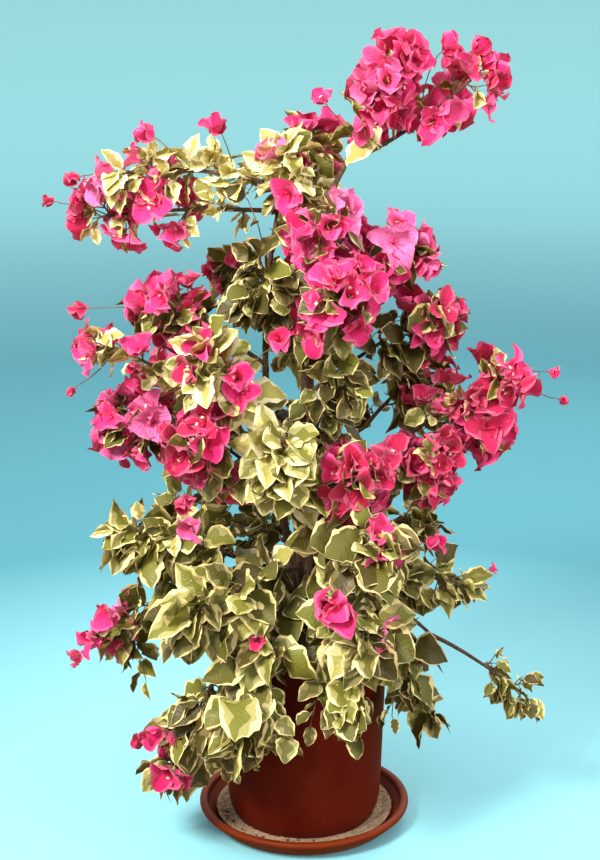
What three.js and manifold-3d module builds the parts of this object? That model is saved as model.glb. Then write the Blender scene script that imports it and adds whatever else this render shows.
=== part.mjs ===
// A potted bougainvillea: pot, saucer, woody canes and leafy, flowering sprays.
// Units are millimetres, +Z is up, and the origin is the centre of the saucer's flat underside.
import * as THREE from "three";
import { mergeVertices } from "three/addons/utils/BufferGeometryUtils.js";
import Module from "manifold-3d";

const wasm = await Module();
wasm.setup();

// ---------- driving dimensions ----------

const GAP = 0.3;                 // clearance between neighbouring solids
const LIMB_GAP = 0.42;           // clearance cut round a limb, which also covers its facets
const ROUND_SEGMENTS = 24;       // facets round the pot and the saucer

const SAUCER = { footRadius: 114, rimRadius: 135, innerFootRadius: 111, innerRimRadius: 125,
  height: 26, floor: 5, cove: 2, lip: 4 };
const POT = { footRadius: 84, heelRadius: 98, heelHeight: 22, rimRadius: 107, height: 236,
  floor: 5, wall: 3.5, bandHeight: 12, bandStep: 2, round: 1 };
const SOIL = { belowRim: 22, mound: 3 };
const GRIT = { innerRadius: 88, outerFootRadius: 105, depth: 5, bank: 4, bankWidth: 12, toe: 2.2 };

const POT_FOOT_Z = SAUCER.floor + GAP;
const POT_RIM_Z = POT_FOOT_Z + POT.height;
const SOIL_Z = POT_RIM_Z - SOIL.belowRim;

// The trunk is one short stem that flares at the soil and forks into canes near its head.
const TRUNK = { foot: [3, -1, SOIL_Z - 6], top: [-2, 3, SOIL_Z + 78], bow: [3, 2, 0], radius: 10.5,
  flare: 8, forkAt: 0.86 };
const LIMB_SIDES = { trunk: 8, cane: 6, bough: 5 };
const LIMB_STEPS = { trunk: 4, bough: 4 };

// Canes leave the trunk's head. Each is one tapering limb through the points given.
const CANES = {
  cane_crest: {
    radii: [7, 2.6],
    via: [[6, 4, 400], [0, 10, 540], [10, 12, 680], [28, 10, 790], [58, 10, 858]],
  },
  cane_left: {
    radii: [5.6, 2.3],
    via: [[-24, 0, 390], [-42, 0, 500], [-47, 2, 620], [-40, 2, 730], [-26, 0, 810]],
  },
  cane_back: { radii: [5.6, 2.3], via: [[6, 46, 390], [10, 80, 500], [6, 92, 620], [0, 84, 740]] },
  cane_right: { radii: [5.2, 2.3], via: [[42, 6, 380], [78, 8, 440], [124, 10, 502]] },
  cane_front: { radii: [5, 2.3], via: [[-4, -42, 350], [-10, -68, 410], [-12, -72, 470]] },
  cane_low_left: { radii: [5, 2.3], via: [[-38, -10, 336], [-78, -12, 352]] },
  cane_low_right: { radii: [5, 2.3], via: [[40, -14, 330], [86, -14, 326]] },
  cane_low_back: { radii: [5, 2.3], via: [[2, 48, 334], [0, 92, 340]] },
};

// Boughs carry the sprays that start far from a cane: their cane, where on it, and their tip.
const BOUGHS = {
  bough_left: { limb: "cane_left", at: 0.22, tip: [-108, 2, 484], lift: 0.1, radii: [3.6, 2.1] },
  bough_right_thin: { limb: "cane_low_right", at: 0.6, tip: [162, 6, 244], lift: 0.1, radii: [3.4, 2] },
  bough_left_droop: { limb: "cane_low_left", at: 0.5, tip: [-80, -88, 262], lift: 0.3, radii: [3.4, 2] },
  bough_back_left: { limb: "cane_back", at: 0.42, tip: [-70, 110, 500], lift: 0.1, radii: [3.6, 2.1] },
  bough_back_right: { limb: "cane_back", at: 0.36, tip: [78, 108, 490], lift: 0.1, radii: [3.6, 2.1] },
};

// Seeds of the draws, far enough apart that no two are alike.
const SEEDS = { first: 101, step: 37, plan: 1000, spray: 100000, twig: 100, bloom: 50, attempt: 7919 };

// Sprays are the masses of foliage. Each grows from one stem that leaves its limb at a fraction
// of the limb's length and ends at the tip. Bare is the leafless share of that stem, reach is
// how far side twigs stand out, leaves and blooms are counts per twig, and leaf is a length.
const SPRAY_FIELDS = ["name", "limb", "at", "tip", "lift", "bare", "reach", "twigs", "leaves", "blooms",
  "bloomFrom", "leaf", "droop"];
const SPRAYS = [
  ["crest", "cane_crest", 1, [110, 6, 946], 0.1, 0.12, 45, 8, 0.4, 2.4, 0, 46, 0.5],
  ["crest_tail", "cane_crest", 0.94, [198, 24, 936], -0.1, 0.5, 40, 6, 0.3, 1.6, 0, 34, 0.4],
  ["top_leaves", "cane_crest", 0.7, [-22, -18, 842], 0.05, 0.2, 44, 7, 2, 0.2, 0.6, 46, 0.5],
  ["arm_upper", "cane_left", 1, [-210, -22, 830], 0.12, 0.08, 36, 8, 2.3, 1.1, 0.4, 38, 0.1],
  ["arm_lower", "cane_left", 0.93, [-242, 2, 776], 0.05, 0.12, 38, 9, 1, 1.4, 0.3, 34, 0.3],
  ["upper_pink", "cane_crest", 0.62, [30, -62, 776], 0.02, 0.25, 48, 6, 1, 1.8, 0.2, 48, 0.5],
  ["upper_right", "cane_crest", 0.56, [113, -22, 744], 0.08, 0.3, 53, 8, 1, 2, 0, 52, 0.7],
  ["front_pink", "cane_crest", 0.5, [42, -102, 694], 0.05, 0.3, 54, 7, 0.8, 1.9, 0, 52, 0.7],
  ["shoulder", "cane_crest", 0.42, [150, -30, 666], 0.05, 0.45, 46, 7, 1.2, 1.7, 0.3, 50, 0.8],
  ["left_upper", "cane_left", 0.56, [-166, -20, 672], 0.06, 0.3, 50, 7, 1.2, 1.9, 0.2, 48, 0.7],
  ["heart_upper", "cane_left", 0.6, [-48, -52, 718], 0, 0.15, 56, 7, 2, 0.2, 0.5, 46, 0.8],
  ["left_cream", "cane_left", 0.44, [-240, -44, 632], 0.04, 0.3, 26, 8, 1.4, 0.35, 0.4, 40, 0.5],
  ["left_outer", "bough_left", 1, [-214, -12, 532], 0.15, 0.08, 52, 8, 0.9, 2.1, 0, 48, 0.7],
  ["left_inner", "cane_left", 0.28, [-114, -96, 530], 0.1, 0.3, 56, 8, 1, 1.9, 0.2, 50, 0.8],
  ["cream_band", "cane_left", 0.38, [-108, -104, 628], 0.02, 0.25, 50, 6, 2, 0.5, 0.4, 52, 0.5],
  ["heart_mid", "cane_crest", 0.3, [32, -60, 596], 0.02, 0.25, 60, 7, 1.9, 0.1, 1, 46, 0.9],
  ["right_inner", "cane_right", 0.42, [56, -98, 490], 0.1, 0.25, 54, 7, 0.8, 1.9, 0, 52, 0.8],
  ["right_outer", "cane_right", 0.72, [144, -34, 474], 0.15, 0.15, 48, 7, 0.8, 2.1, 0, 50, 0.8],
  ["right_arm", "cane_right", 1, [236, 0, 584], 0.04, 0.1, 32, 8, 0.8, 1.4, 0.1, 36, 0.5],
  ["right_arm_low", "cane_right", 0.92, [222, 12, 520], 0, 0.25, 42, 6, 0.8, 1.9, 0.2, 42, 0.6],
  ["low_left", "cane_low_left", 1, [-204, -22, 384], 0.08, 0.06, 56, 9, 1.9, 0, 1, 56, 0.7],
  ["left_skirt", "cane_low_left", 0.82, [-220, -34, 276], 0.1, 0.1, 56, 7, 1.7, 1.3, 0.7, 54, 0.9],
  ["low_front_left", "cane_front", 0.35, [-126, -124, 324], 0.08, 0.2, 62, 8, 2, 0, 1, 60, 0.8],
  ["low_front", "cane_front", 0.12, [-72, -166, 208], 0.4, 0.28, 64, 9, 2, 0, 1, 64, 1],
  ["low_front_right", "cane_front", 0.55, [80, -134, 408], 0.06, 0.3, 58, 8, 2, 0.15, 0.6, 62, 0.8],
  ["low_right", "cane_low_right", 0.3, [76, -142, 300], 0.34, 0.28, 56, 8, 1.9, 0.5, 0.7, 60, 1],
  ["right_low", "cane_low_right", 1, [190, -12, 322], 0.1, 0.08, 35, 7, 1.6, 0.2, 0.8, 46, 0.7],
  ["right_skirt", "cane_low_right", 0.86, [148, -56, 178], 0.2, 0.08, 44, 7, 1.5, 0, 1, 52, 1],
  ["right_thin", "bough_right_thin", 1, [280, -18, 172], 0.08, 0.5, 28, 6, 1.4, 0, 1, 34, 1],
  ["left_droop", "bough_left_droop", 1, [-156, -96, 122], 0.2, 0.35, 44, 8, 1.7, 0.9, 0.5, 54, 1],
  ["front_thin", "cane_low_right", 0.12, [46, -158, 222], 0.55, 0.3, 42, 8, 1.8, 0, 1, 50, 1],
  ["centre_cream", "cane_front", 0.84, [-26, -114, 526], 0, 0.2, 54, 6, 2, 0, 1, 56, 0.8],
  ["back_top", "cane_back", 1, [6, 66, 856], 0, 0.1, 52, 6, 1.6, 0.8, 0.3, 46, 0.4],
  ["back_left_high", "cane_back", 0.82, [-84, 104, 700], 0.05, 0.25, 56, 7, 1.5, 1, 0.6, 50, 0.6],
  ["back_right_high", "cane_back", 0.86, [98, 100, 706], 0.02, 0.25, 56, 7, 1.4, 1.1, 0.2, 50, 0.6],
  ["back_mid", "cane_back", 0.62, [12, 204, 628], 0.05, 0.25, 60, 7, 1.6, 0.9, 0.3, 52, 0.7],
  ["back_left", "bough_back_left", 1, [-158, 134, 548], 0.12, 0.1, 56, 7, 1.4, 1.1, 0.2, 50, 0.8],
  ["back_right", "bough_back_right", 1, [150, 128, 556], 0.1, 0.1, 56, 7, 1.4, 1.1, 0.2, 50, 0.8],
  ["back_low", "cane_low_back", 1, [4, 226, 420], 0.1, 0.1, 64, 7, 2, 0.1, 0.5, 56, 0.8],
  ["back_low_left", "cane_low_back", 0.6, [-158, 142, 366], 0.12, 0.2, 60, 7, 1.9, 0.2, 0.6, 56, 0.8],
  ["back_low_right", "cane_low_back", 0.74, [132, 140, 352], 0.12, 0.2, 60, 7, 1.9, 0.2, 0.6, 56, 0.8],
  ["back_skirt", "cane_low_back", 0.87, [-4, 200, 216], 0.32, 0.3, 60, 7, 1.9, 0, 1, 54, 1],
].map((row, index) => ({
  ...Object.fromEntries(row.map((value, i) => [SPRAY_FIELDS[i], value])),
  seed: SEEDS.first + SEEDS.step * index,
}));

const STEM = { radius: 3.2, tipRadius: 2.3, steps: 3 };
const TWIG = { radiusShare: 0.42, neckRadius: 1.1, angles: [0.75, 1.15], lengths: [0.6, 1], sag: 0.12,
  lookAhead: 0.1, shortestLength: 14, turns: 5, turnStep: 1.3, shares: [1, 0.82, 0.64, 0.46],
  probes: [0.06, 0.18, 0.3, 0.42, 0.54, 0.66, 0.78, 0.9, 1] };
const LAST_TWIG = { at: 0.985, angle: 0.2, shorter: 0.5 };
const LEAF = { scale: 1.6, sizes: [0.85, 1.15], widthShare: 0.62, widest: 0.42, fold: 0.04, bend: 0.12,
  ribDepth: 1.8, foot: 0.45, stalk: 4, around: 2.6, spread: 1.6, lean: 0.35, hang: 0.9, facing: 2.2,
  faceOut: 0.45, hangOut: 0.5, faceUp: 0.75, hangUp: 0.3 };
const BLOOM = { sizes: [0.88, 1.12], radius: 42, tipHeight: 27, notchRadius: 20, notchHeight: 16,
  heartHeight: 14, stalk: 6, around: 2.2, spread: 2, lean: 0.5 };

// What a twig carries ends it, or stands at a side of it at even steps back from its end.
const CARRIED = { endAngle: 0.3, sideAngle: 0.92, sideStart: 0.98, sideStep: 0.3, sideLeaves: 0.18 };
const ATTEMPTS = { most: 10, shrink: 0.045, shorten: 0.07 };
const LARGEST_JOINT = { twig: 16, blade: 3 };  // most cubic millimetres shared with what has grown
const PROBE = { foot: 0.6, blade: [0.35, 0.7] };  // shares of a blade where its room is tested
const GOLDEN_ANGLE = THREE.MathUtils.degToRad(137.5);

const SPACE = { stemRadius: 9, limit: 1.45, margin: 2.2, step: 8, opensBefore: 0.8, opensOver: 0.25 };
const LIMB_CLEARANCE = { margin: 4, step: 4 };
const POT_CLEARANCE = 6;
const FLOOR_CLEARANCE = 4;

const MATERIALS = {
  pot: new THREE.MeshStandardMaterial({ color: 0x6e2a17, roughness: 0.5, metalness: 0 }),
  saucer: new THREE.MeshStandardMaterial({ color: 0x8c4424, roughness: 0.65, metalness: 0 }),
  grit: new THREE.MeshStandardMaterial({ color: 0xa98c6c, roughness: 0.95, metalness: 0 }),
  soil: new THREE.MeshStandardMaterial({ color: 0x33241a, roughness: 1, metalness: 0 }),
  bark: new THREE.MeshStandardMaterial({ color: 0x4d3a2a, roughness: 0.9, metalness: 0 }),
  leaf: new THREE.MeshStandardMaterial({ color: 0x8f9a4a, roughness: 0.6, metalness: 0 }),
  blossom: new THREE.MeshStandardMaterial({ color: 0xe0306e, roughness: 0.6, metalness: 0 }),
};

const UP = new THREE.Vector3(0, 0, 1);

// ---------- small helpers ----------

const vec = (xyz) => new THREE.Vector3(...xyz);
const between = (a, b, share = 0.5) => a.clone().lerp(b, share);

// Seeded random numbers from 0 to 1, the same on every run.
function seeded(seed) {
  let state = seed >>> 0;
  return () => {
    state = (state + 0x6d2b79f5) >>> 0;
    let t = Math.imul(state ^ (state >>> 15), state | 1);
    t = (t + Math.imul(t ^ (t >>> 7), t | 61)) ^ t;
    return ((t ^ (t >>> 14)) >>> 0) / 4294967296;
  };
}

// A closed geometry with shared vertices and position only.
function closedGeometry(geometry) {
  geometry.deleteAttribute("normal");
  geometry.deleteAttribute("uv");
  return mergeVertices(geometry, 1e-4);
}

function toSolid(geometry) {
  const merged = closedGeometry(geometry);
  return new wasm.Manifold(new wasm.Mesh({
    numProp: 3,
    vertProperties: new Float32Array(merged.attributes.position.array),
    triVerts: new Uint32Array(merged.index.array),
  }));
}

function toGeometry(solid) {
  const mesh = solid.getMesh();
  const geometry = new THREE.BufferGeometry();
  geometry.setAttribute("position", new THREE.BufferAttribute(mesh.vertProperties, 3));
  geometry.setIndex(new THREE.BufferAttribute(mesh.triVerts, 1));
  return geometry;
}

// The largest connected body of a solid, so that no loose scrap is kept.
function largestBody(solid) {
  const bodies = solid.decompose();
  return bodies.reduce((best, body) => (body.volume() > best.volume() ? body : best));
}

// Carries a unit cylinder along a curve: each ring is set square to the curve at its radius.
function taperedTube(curve, radiusAt, sides, steps) {
  const tube = closedGeometry(new THREE.CylinderGeometry(1, 1, 1, sides, steps));
  const chord = curve.getPoint(1).sub(curve.getPoint(0)).normalize();
  const spans = [Math.abs(chord.x), Math.abs(chord.y), Math.abs(chord.z)];
  const reference = new THREE.Vector3().setComponent(spans.indexOf(Math.min(...spans)), 1);
  const place = tube.attributes.position;
  for (let i = 0; i < place.count; i += 1) {
    const t = place.getY(i) + 0.5;
    const tangent = curve.getTangent(t);
    const normal = reference.clone().addScaledVector(tangent, -reference.dot(tangent)).normalize();
    const binormal = normal.clone().cross(tangent);
    const radius = radiusAt(t);
    const point = curve.getPoint(t)
      .addScaledVector(normal, place.getX(i) * radius)
      .addScaledVector(binormal, place.getZ(i) * radius);
    place.setXYZ(i, point.x, point.y, point.z);
  }
  return tube;
}

// ---------- pot, saucer, grit and soil ----------

const latheFrom = (profile) => new THREE.LatheGeometry(
  profile.map(([radius, height]) => new THREE.Vector2(radius, height)), ROUND_SEGMENTS,
).rotateX(Math.PI / 2);

// The inner side of the saucer's wall at a height.
const saucerInnerRadius = (height) => THREE.MathUtils.mapLinear(height, SAUCER.floor + SAUCER.cove,
  SAUCER.height - SAUCER.lip, SAUCER.innerFootRadius, SAUCER.innerRimRadius);

// Flat underside, flared wall and a rounded lip.
function saucerGeometry() {
  const s = SAUCER;
  const lipFoot = s.height - s.lip;
  return latheFrom([
    [0, 0], [s.footRadius, 0], [s.rimRadius - s.lip, lipFoot - s.lip], [s.rimRadius, lipFoot],
    [s.rimRadius - s.lip / 2, s.height], [s.innerRimRadius + s.cove, s.height - s.lip / 4],
    [s.innerRimRadius, lipFoot], [s.innerFootRadius, s.floor + s.cove],
    [s.innerFootRadius - 2 * s.cove, s.floor], [0, s.floor],
  ]);
}

const potOuterRadius = (height) => THREE.MathUtils.mapLinear(
  height, POT.heelHeight, POT.height, POT.heelRadius, POT.rimRadius - POT.bandStep,
);

// A quarter of an ellipse from the pot's foot up to its wall.
const potHeel = () => [0, 45, 90].map((degrees) => {
  const angle = THREE.MathUtils.degToRad(degrees);
  return [POT.footRadius + (POT.heelRadius - POT.footRadius) * Math.sin(angle),
    POT.heelHeight * (1 - Math.cos(angle))];
});

// Flat foot, rounded heel, slightly flaring wall and a plain band round the rim.
function potGeometry() {
  const p = POT;
  const bandFoot = p.height - p.bandHeight;
  const inside = (height) => potOuterRadius(height) - p.wall;
  return latheFrom([
    [0, 0], ...potHeel(),
    [potOuterRadius(bandFoot), bandFoot], [p.rimRadius, bandFoot + p.round],
    [p.rimRadius, p.height - p.round], [p.rimRadius - p.round, p.height],
    [inside(p.height) + p.round, p.height], [inside(p.height), p.height - p.round],
    [inside(p.heelHeight), p.heelHeight], [p.footRadius - p.wall, p.floor], [0, p.floor],
  ]).translate(0, 0, POT_FOOT_Z);
}

// Fills the pot to below its rim, mounded a little towards the trunk.
function soilGeometry() {
  const inside = (height) => potOuterRadius(height) - POT.wall - 2 * GAP;
  const top = POT.height - SOIL.belowRim;
  const floor = POT.floor + GAP;
  return latheFrom([
    [0, floor], [POT.footRadius - 2 * POT.wall, floor], [inside(POT.heelHeight), POT.heelHeight],
    [inside(top), top - SOIL.mound], [inside(top) / 2, top], [0, top],
  ]).translate(0, 0, POT_FOOT_Z);
}

// A ring of grit on the saucer's floor, banked up against its wall.
function gritGeometry() {
  const foot = SAUCER.floor + GAP;
  const bankTop = foot + GRIT.depth + GRIT.bank;
  const bankRadius = saucerInnerRadius(bankTop) - 3 * GAP;
  return latheFrom([
    [GRIT.innerRadius, foot], [GRIT.outerFootRadius, foot], [bankRadius, bankTop],
    [bankRadius - GRIT.bankWidth, foot + GRIT.depth], [GRIT.innerRadius + GRIT.toe, foot + GRIT.toe],
    [GRIT.innerRadius, foot],
  ]);
}

// ---------- limbs ----------

const linearTaper = ([start, end]) => (t) => start + (end - start) * t;

// A limb knows its curve and radius. Its parent is what it leaves.
function makeLimb(name, curve, radiusAt, sides, steps, parent) {
  return { name, curve, radiusAt, sides, steps, parent };
}

function trunkLimb() {
  const foot = vec(TRUNK.foot);
  const top = vec(TRUNK.top);
  const middle = between(foot, top).add(vec(TRUNK.bow));
  const curve = new THREE.QuadraticBezierCurve3(foot, middle, top);
  const radiusAt = (t) => TRUNK.radius + TRUNK.flare * (1 - t) ** 3;
  return makeLimb("trunk", curve, radiusAt, LIMB_SIDES.trunk, LIMB_STEPS.trunk, null);
}

function caneLimb(name, { radii, via }, trunk) {
  const start = trunk.curve.getPoint(TRUNK.forkAt);
  const curve = new THREE.CatmullRomCurve3([start, ...via.map(vec)], false, "centripetal");
  return makeLimb(name, curve, linearTaper(radii), LIMB_SIDES.cane, 2 * via.length, trunk);
}

// A stem's course: from its limb to its tip, lifted in the middle by a share of its length.
function stemCourse(start, tip, lift) {
  const middle = between(start, tip);
  middle.z += lift * start.distanceTo(tip);
  return new THREE.QuadraticBezierCurve3(start, middle, tip);
}

function boughLimb(name, { limb, at, tip, lift, radii }, limbs) {
  const parent = limbs[limb];
  const curve = stemCourse(parent.curve.getPoint(at), vec(tip), lift);
  return makeLimb(name, curve, linearTaper(radii), LIMB_SIDES.bough, LIMB_STEPS.bough, parent);
}

const limbSolid = (limb, extra = 0) => toSolid(
  taperedTube(limb.curve, (t) => limb.radiusAt(t) + extra, limb.sides, limb.steps),
);

// Cuts the trunk flat where it meets the soil.
function cutAtSoil(solid) {
  const side = 4 * (TRUNK.radius + TRUNK.flare);
  const below = new THREE.BoxGeometry(side, side, side).translate(0, 0, SOIL_Z + GAP - side / 2);
  return solid.subtract(toSolid(below));
}

// Cuts a limb clear of the limbs given, by the gap.
function cutClear(solid, limbs) {
  const cut = limbs.reduce((rest, limb) => rest.subtract(limbSolid(limb, LIMB_GAP)), solid);
  return largestBody(cut);
}

// ---------- leaves and blossom ----------

// Three points round a centre, square to an axis, the first one below it.
function ringOfThree(centre, side, up, radius) {
  return [-90, 30, 150].map((degrees) => {
    const angle = THREE.MathUtils.degToRad(degrees);
    return centre.clone()
      .addScaledVector(side, radius * Math.cos(angle))
      .addScaledVector(up, radius * Math.sin(angle));
  });
}

// A closed three-sided body through rings of three points. Ending adds the faces past the last ring.
function threeSidedSolid(rings, ending) {
  const points = rings.flat();
  const faces = [0, 2, 1];
  for (let ring = 0; ring + 1 < rings.length; ring += 1) {
    for (let i = 0; i < 3; i += 1) {
      const [a, b] = [3 * ring + i, 3 * ring + ((i + 1) % 3)];
      faces.push(a, b, b + 3, a, b + 3, a + 3);
    }
  }
  const last = points.length - 3;
  ending(points, faces, [last, last + 1, last + 2]);
  const geometry = new THREE.BufferGeometry().setFromPoints(points);
  geometry.setIndex(faces);
  return toSolid(geometry);
}

const flatEnd = (points, faces, [a, b, c]) => faces.push(a, b, c);

const pointedEnd = (tip) => (points, faces, [a, b, c]) => {
  const end = points.push(tip) - 1;
  faces.push(a, b, end, b, c, end, c, a, end);
};

// Three pointed bracts between the notches of the last ring, round a common heart.
const bloomEnd = (bloom) => (points, faces, ring) => {
  const heart = points.push(bloom.heart) - 1;
  for (let i = 0; i < 3; i += 1) {
    const [before, after] = [ring[i], ring[(i + 1) % 3]];
    const tip = points.push(bloom.tips[i]) - 1;
    faces.push(before, after, tip, heart, before, tip, heart, tip, after);
  }
};

// A blade's frame: where its stalk ends, its own direction and its upper side.
function bladePoints({ root, along, up, length }) {
  const side = up.clone().cross(along);
  const width = length * LEAF.widthShare;
  const middle = root.clone().addScaledVector(along, length * LEAF.widest);
  const edge = (sign) => middle.clone()
    .addScaledVector(side, (sign * width) / 2)
    .addScaledVector(up, LEAF.fold * width);
  const tip = root.clone().addScaledVector(along, length).addScaledVector(up, -LEAF.bend * length);
  return { side, tip, ring: [middle.addScaledVector(up, -LEAF.ribDepth / 2), edge(1), edge(-1)] };
}

// A leaf by itself, on a stalk whose foot is sunk in its twig.
function leafSolid(leaf) {
  const { side, tip, ring } = bladePoints(leaf);
  const stalkEnd = leaf.root.clone().addScaledVector(leaf.along, LEAF.stalk);
  const foot = ringOfThree(leaf.root, side, leaf.up, LEAF.foot);
  const neck = ringOfThree(stalkEnd, side, leaf.up, LEAF.foot);
  return threeSidedSolid([foot, neck, ring], pointedEnd(tip));
}

// The places of a bloom: its heart, the tip and the foregoing notch of each bract, and its neck.
function bloomPoints({ root, axis, turn, scale }) {
  const at = (azimuth, radius, height) => {
    const across = leavingDirection(axis, azimuth, Math.PI / 2);
    return root.clone().addScaledVector(across, radius * scale).addScaledVector(axis, height * scale);
  };
  const azimuths = [0, 1, 2].map((i) => turn + (i * 2 * Math.PI) / 3);
  return {
    heart: at(0, 0, BLOOM.heartHeight),
    tips: azimuths.map((azimuth) => at(azimuth, BLOOM.radius, BLOOM.tipHeight)),
    notches: azimuths.map((azimuth) => at(azimuth - Math.PI / 3, BLOOM.notchRadius, BLOOM.notchHeight)),
    neck: azimuths.map((azimuth) => at(azimuth - Math.PI / 3, TWIG.neckRadius, 0)),
  };
}

// A bloom by itself, on a stalk whose foot is sunk in its twig.
function bloomSolid(bloom) {
  const places = bloomPoints(bloom);
  const foot = places.neck.map((point) => between(bloom.root, point, LEAF.foot / TWIG.neckRadius));
  const neck = foot.map((point) => point.clone().addScaledVector(bloom.axis, BLOOM.stalk));
  return threeSidedSolid([foot, neck, places.notches], bloomEnd(places));
}

// ---------- the space that each spray keeps to ----------

// A spray's radius of space along its stem: slim where it is bare, then its reach.
function spaceRadius(spray, t) {
  const leafy = THREE.MathUtils.smoothstep(t, spray.bare * SPACE.opensBefore, spray.bare + SPACE.opensOver);
  return THREE.MathUtils.lerp(SPACE.stemRadius, spray.reach, leafy);
}

// Places at even steps along a curve, each with the radius there.
function ringsAlong(curve, step, radiusAt) {
  const count = Math.ceil(curve.getLength() / step);
  return Array.from({ length: count + 1 }, (_, i) => (
    { point: curve.getPoint(i / count), radius: radiusAt(i / count) }
  ));
}

// How deep a point lies in a spray's space: 0 on its stem and 1 at its reach.
function depthIn(spray, point, margin) {
  let least = Infinity;
  for (const ring of spray.space) {
    const depth = Math.max(0, ring.point.distanceTo(point) + margin) / ring.radius;
    least = Math.min(least, depth);
  }
  return least;
}

// True where a point is deeper in this spray's space than in any other's, by the margin.
function ownSpace(spray, sprays, point) {
  const own = depthIn(spray, point, SPACE.margin);
  if (own > SPACE.limit) return false;
  return sprays.every((other) => other === spray || depthIn(other, point, -SPACE.margin) > own);
}

function limbDistance(limb, point) {
  let least = Infinity;
  for (const ring of limb.rings) least = Math.min(least, ring.point.distanceTo(point) - ring.radius);
  return least;
}

// True where a point is clear of the pot, the saucer, the floor and every limb.
function clearOfRest(limbs, point) {
  const within = (radius, top) => Math.hypot(point.x, point.y) < radius + POT_CLEARANCE
    && point.z < top + POT_CLEARANCE;
  if (within(POT.rimRadius, POT_RIM_Z) || within(SAUCER.rimRadius, SAUCER.height)) return false;
  if (point.z < FLOOR_CLEARANCE) return false;
  return limbs.every((limb) => limbDistance(limb, point) > LIMB_CLEARANCE.margin);
}

// ---------- growth of a spray ----------

// A direction that leaves an axis at an angle, turned round it by an azimuth.
function leavingDirection(axis, azimuth, angle) {
  const spans = [Math.abs(axis.x), Math.abs(axis.y), Math.abs(axis.z)];
  const reference = new THREE.Vector3().setComponent(spans.indexOf(Math.min(...spans)), 1);
  const across = reference.clone().addScaledVector(axis, -reference.dot(axis)).normalize();
  const third = axis.clone().cross(across);
  return axis.clone().multiplyScalar(Math.cos(angle))
    .addScaledVector(across, Math.sin(angle) * Math.cos(azimuth))
    .addScaledVector(third, Math.sin(angle) * Math.sin(azimuth));
}

const outwardAt = (point) => new THREE.Vector3(point.x, point.y, 0).normalize();

// The side twigs of a spray, by the golden angle round its stem. The last one ends the stem.
function twigPlan(spray) {
  const twigs = [];
  for (let k = 0; k < spray.twigs; k += 1) {
    const random = seeded(spray.seed * SEEDS.plan + k);
    const [turn, lean, size] = [random(), random(), random()];
    const last = k === spray.twigs - 1;
    const share = last ? 1 : (k + 0.5) / (spray.twigs - 1);
    const at = last ? LAST_TWIG.at : THREE.MathUtils.lerp(spray.bare, 1, share);
    const angle = last ? LAST_TWIG.angle : THREE.MathUtils.lerp(...TWIG.angles, lean);
    const room = spaceRadius(spray, Math.min(1, at + TWIG.lookAhead)) - spray.leaf / 2;
    const length = Math.max(TWIG.shortestLength, room * THREE.MathUtils.lerp(...TWIG.lengths, size));
    twigs.push({
      k, at, angle, share, random, azimuth: k * GOLDEN_ANGLE + turn,
      root: spray.course.getPoint(at), length: length * (last ? LAST_TWIG.shorter : 1),
    });
  }
  return twigs;
}

const twigPoint = (twig, t) => twig.root.clone().addScaledVector(twig.direction, twig.length * t);

// Points a twig away from its stem, turned on from its azimuth, and bows it down by the droop.
function aimTwig(twig, spray, turned) {
  const axis = spray.course.getTangent(twig.at);
  twig.direction = leavingDirection(axis, twig.azimuth + turned, twig.angle)
    .addScaledVector(UP, -TWIG.sag * spray.droop)
    .normalize();
}

// Turns and shortens a twig until it keeps to its spray's own space, or gives it up.
function fitTwig(twig, spray, plant) {
  const whole = twig.length;
  for (let turn = 0; turn < TWIG.turns; turn += 1) {
    aimTwig(twig, spray, turn * TWIG.turnStep);
    for (const share of TWIG.shares) {
      twig.length = whole * share;
      if (fits(TWIG.probes.map((t) => twigPoint(twig, t)), spray, plant)) return true;
    }
  }
  return false;
}

// The draws of what stands at a place on a twig, new for each attempt.
const drawsFor = (spray, twig, place, attempt) => seeded(
  spray.seed * SEEDS.spray + twig.k * SEEDS.twig + place + attempt * SEEDS.attempt,
);

// A leaf at a share of its twig: it leans outwards and hangs by the spray's droop.
function leafAt(twig, spray, i, t, angle, attempt) {
  const random = drawsFor(spray, twig, i, attempt);
  const [turn, size, roll] = [random(), random(), random()];
  const root = twigPoint(twig, t);
  const outward = outwardAt(root).applyAxisAngle(UP, LEAF.facing * (roll - 0.5));
  const along = leavingDirection(twig.direction, i * LEAF.around + turn * LEAF.spread, angle)
    .addScaledVector(outward, LEAF.lean)
    .addScaledVector(UP, -LEAF.hang * spray.droop)
    .normalize();
  const up = outward.multiplyScalar(LEAF.faceOut + LEAF.hangOut * spray.droop)
    .addScaledVector(UP, LEAF.faceUp - LEAF.hangUp * spray.droop);
  up.addScaledVector(along, -up.dot(along)).normalize();
  const grown = THREE.MathUtils.lerp(...LEAF.sizes, size) * (1 - ATTEMPTS.shrink * attempt);
  return { leaf: { root, along, up, length: spray.leaf * LEAF.scale * grown } };
}

// A bloom of three bracts at a share of its twig, leaning outwards.
function bloomAt(twig, spray, i, t, angle, attempt) {
  const random = drawsFor(spray, twig, SEEDS.bloom + i, attempt);
  const [turn, size] = [random(), random()];
  const root = twigPoint(twig, t);
  const axis = leavingDirection(twig.direction, i * BLOOM.around + turn * BLOOM.spread, angle)
    .addScaledVector(outwardAt(root), BLOOM.lean)
    .normalize();
  const scale = THREE.MathUtils.lerp(...BLOOM.sizes, size) * (1 - ATTEMPTS.shrink * attempt);
  return { bloom: { root, axis, turn: turn * Math.PI, scale } };
}

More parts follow.
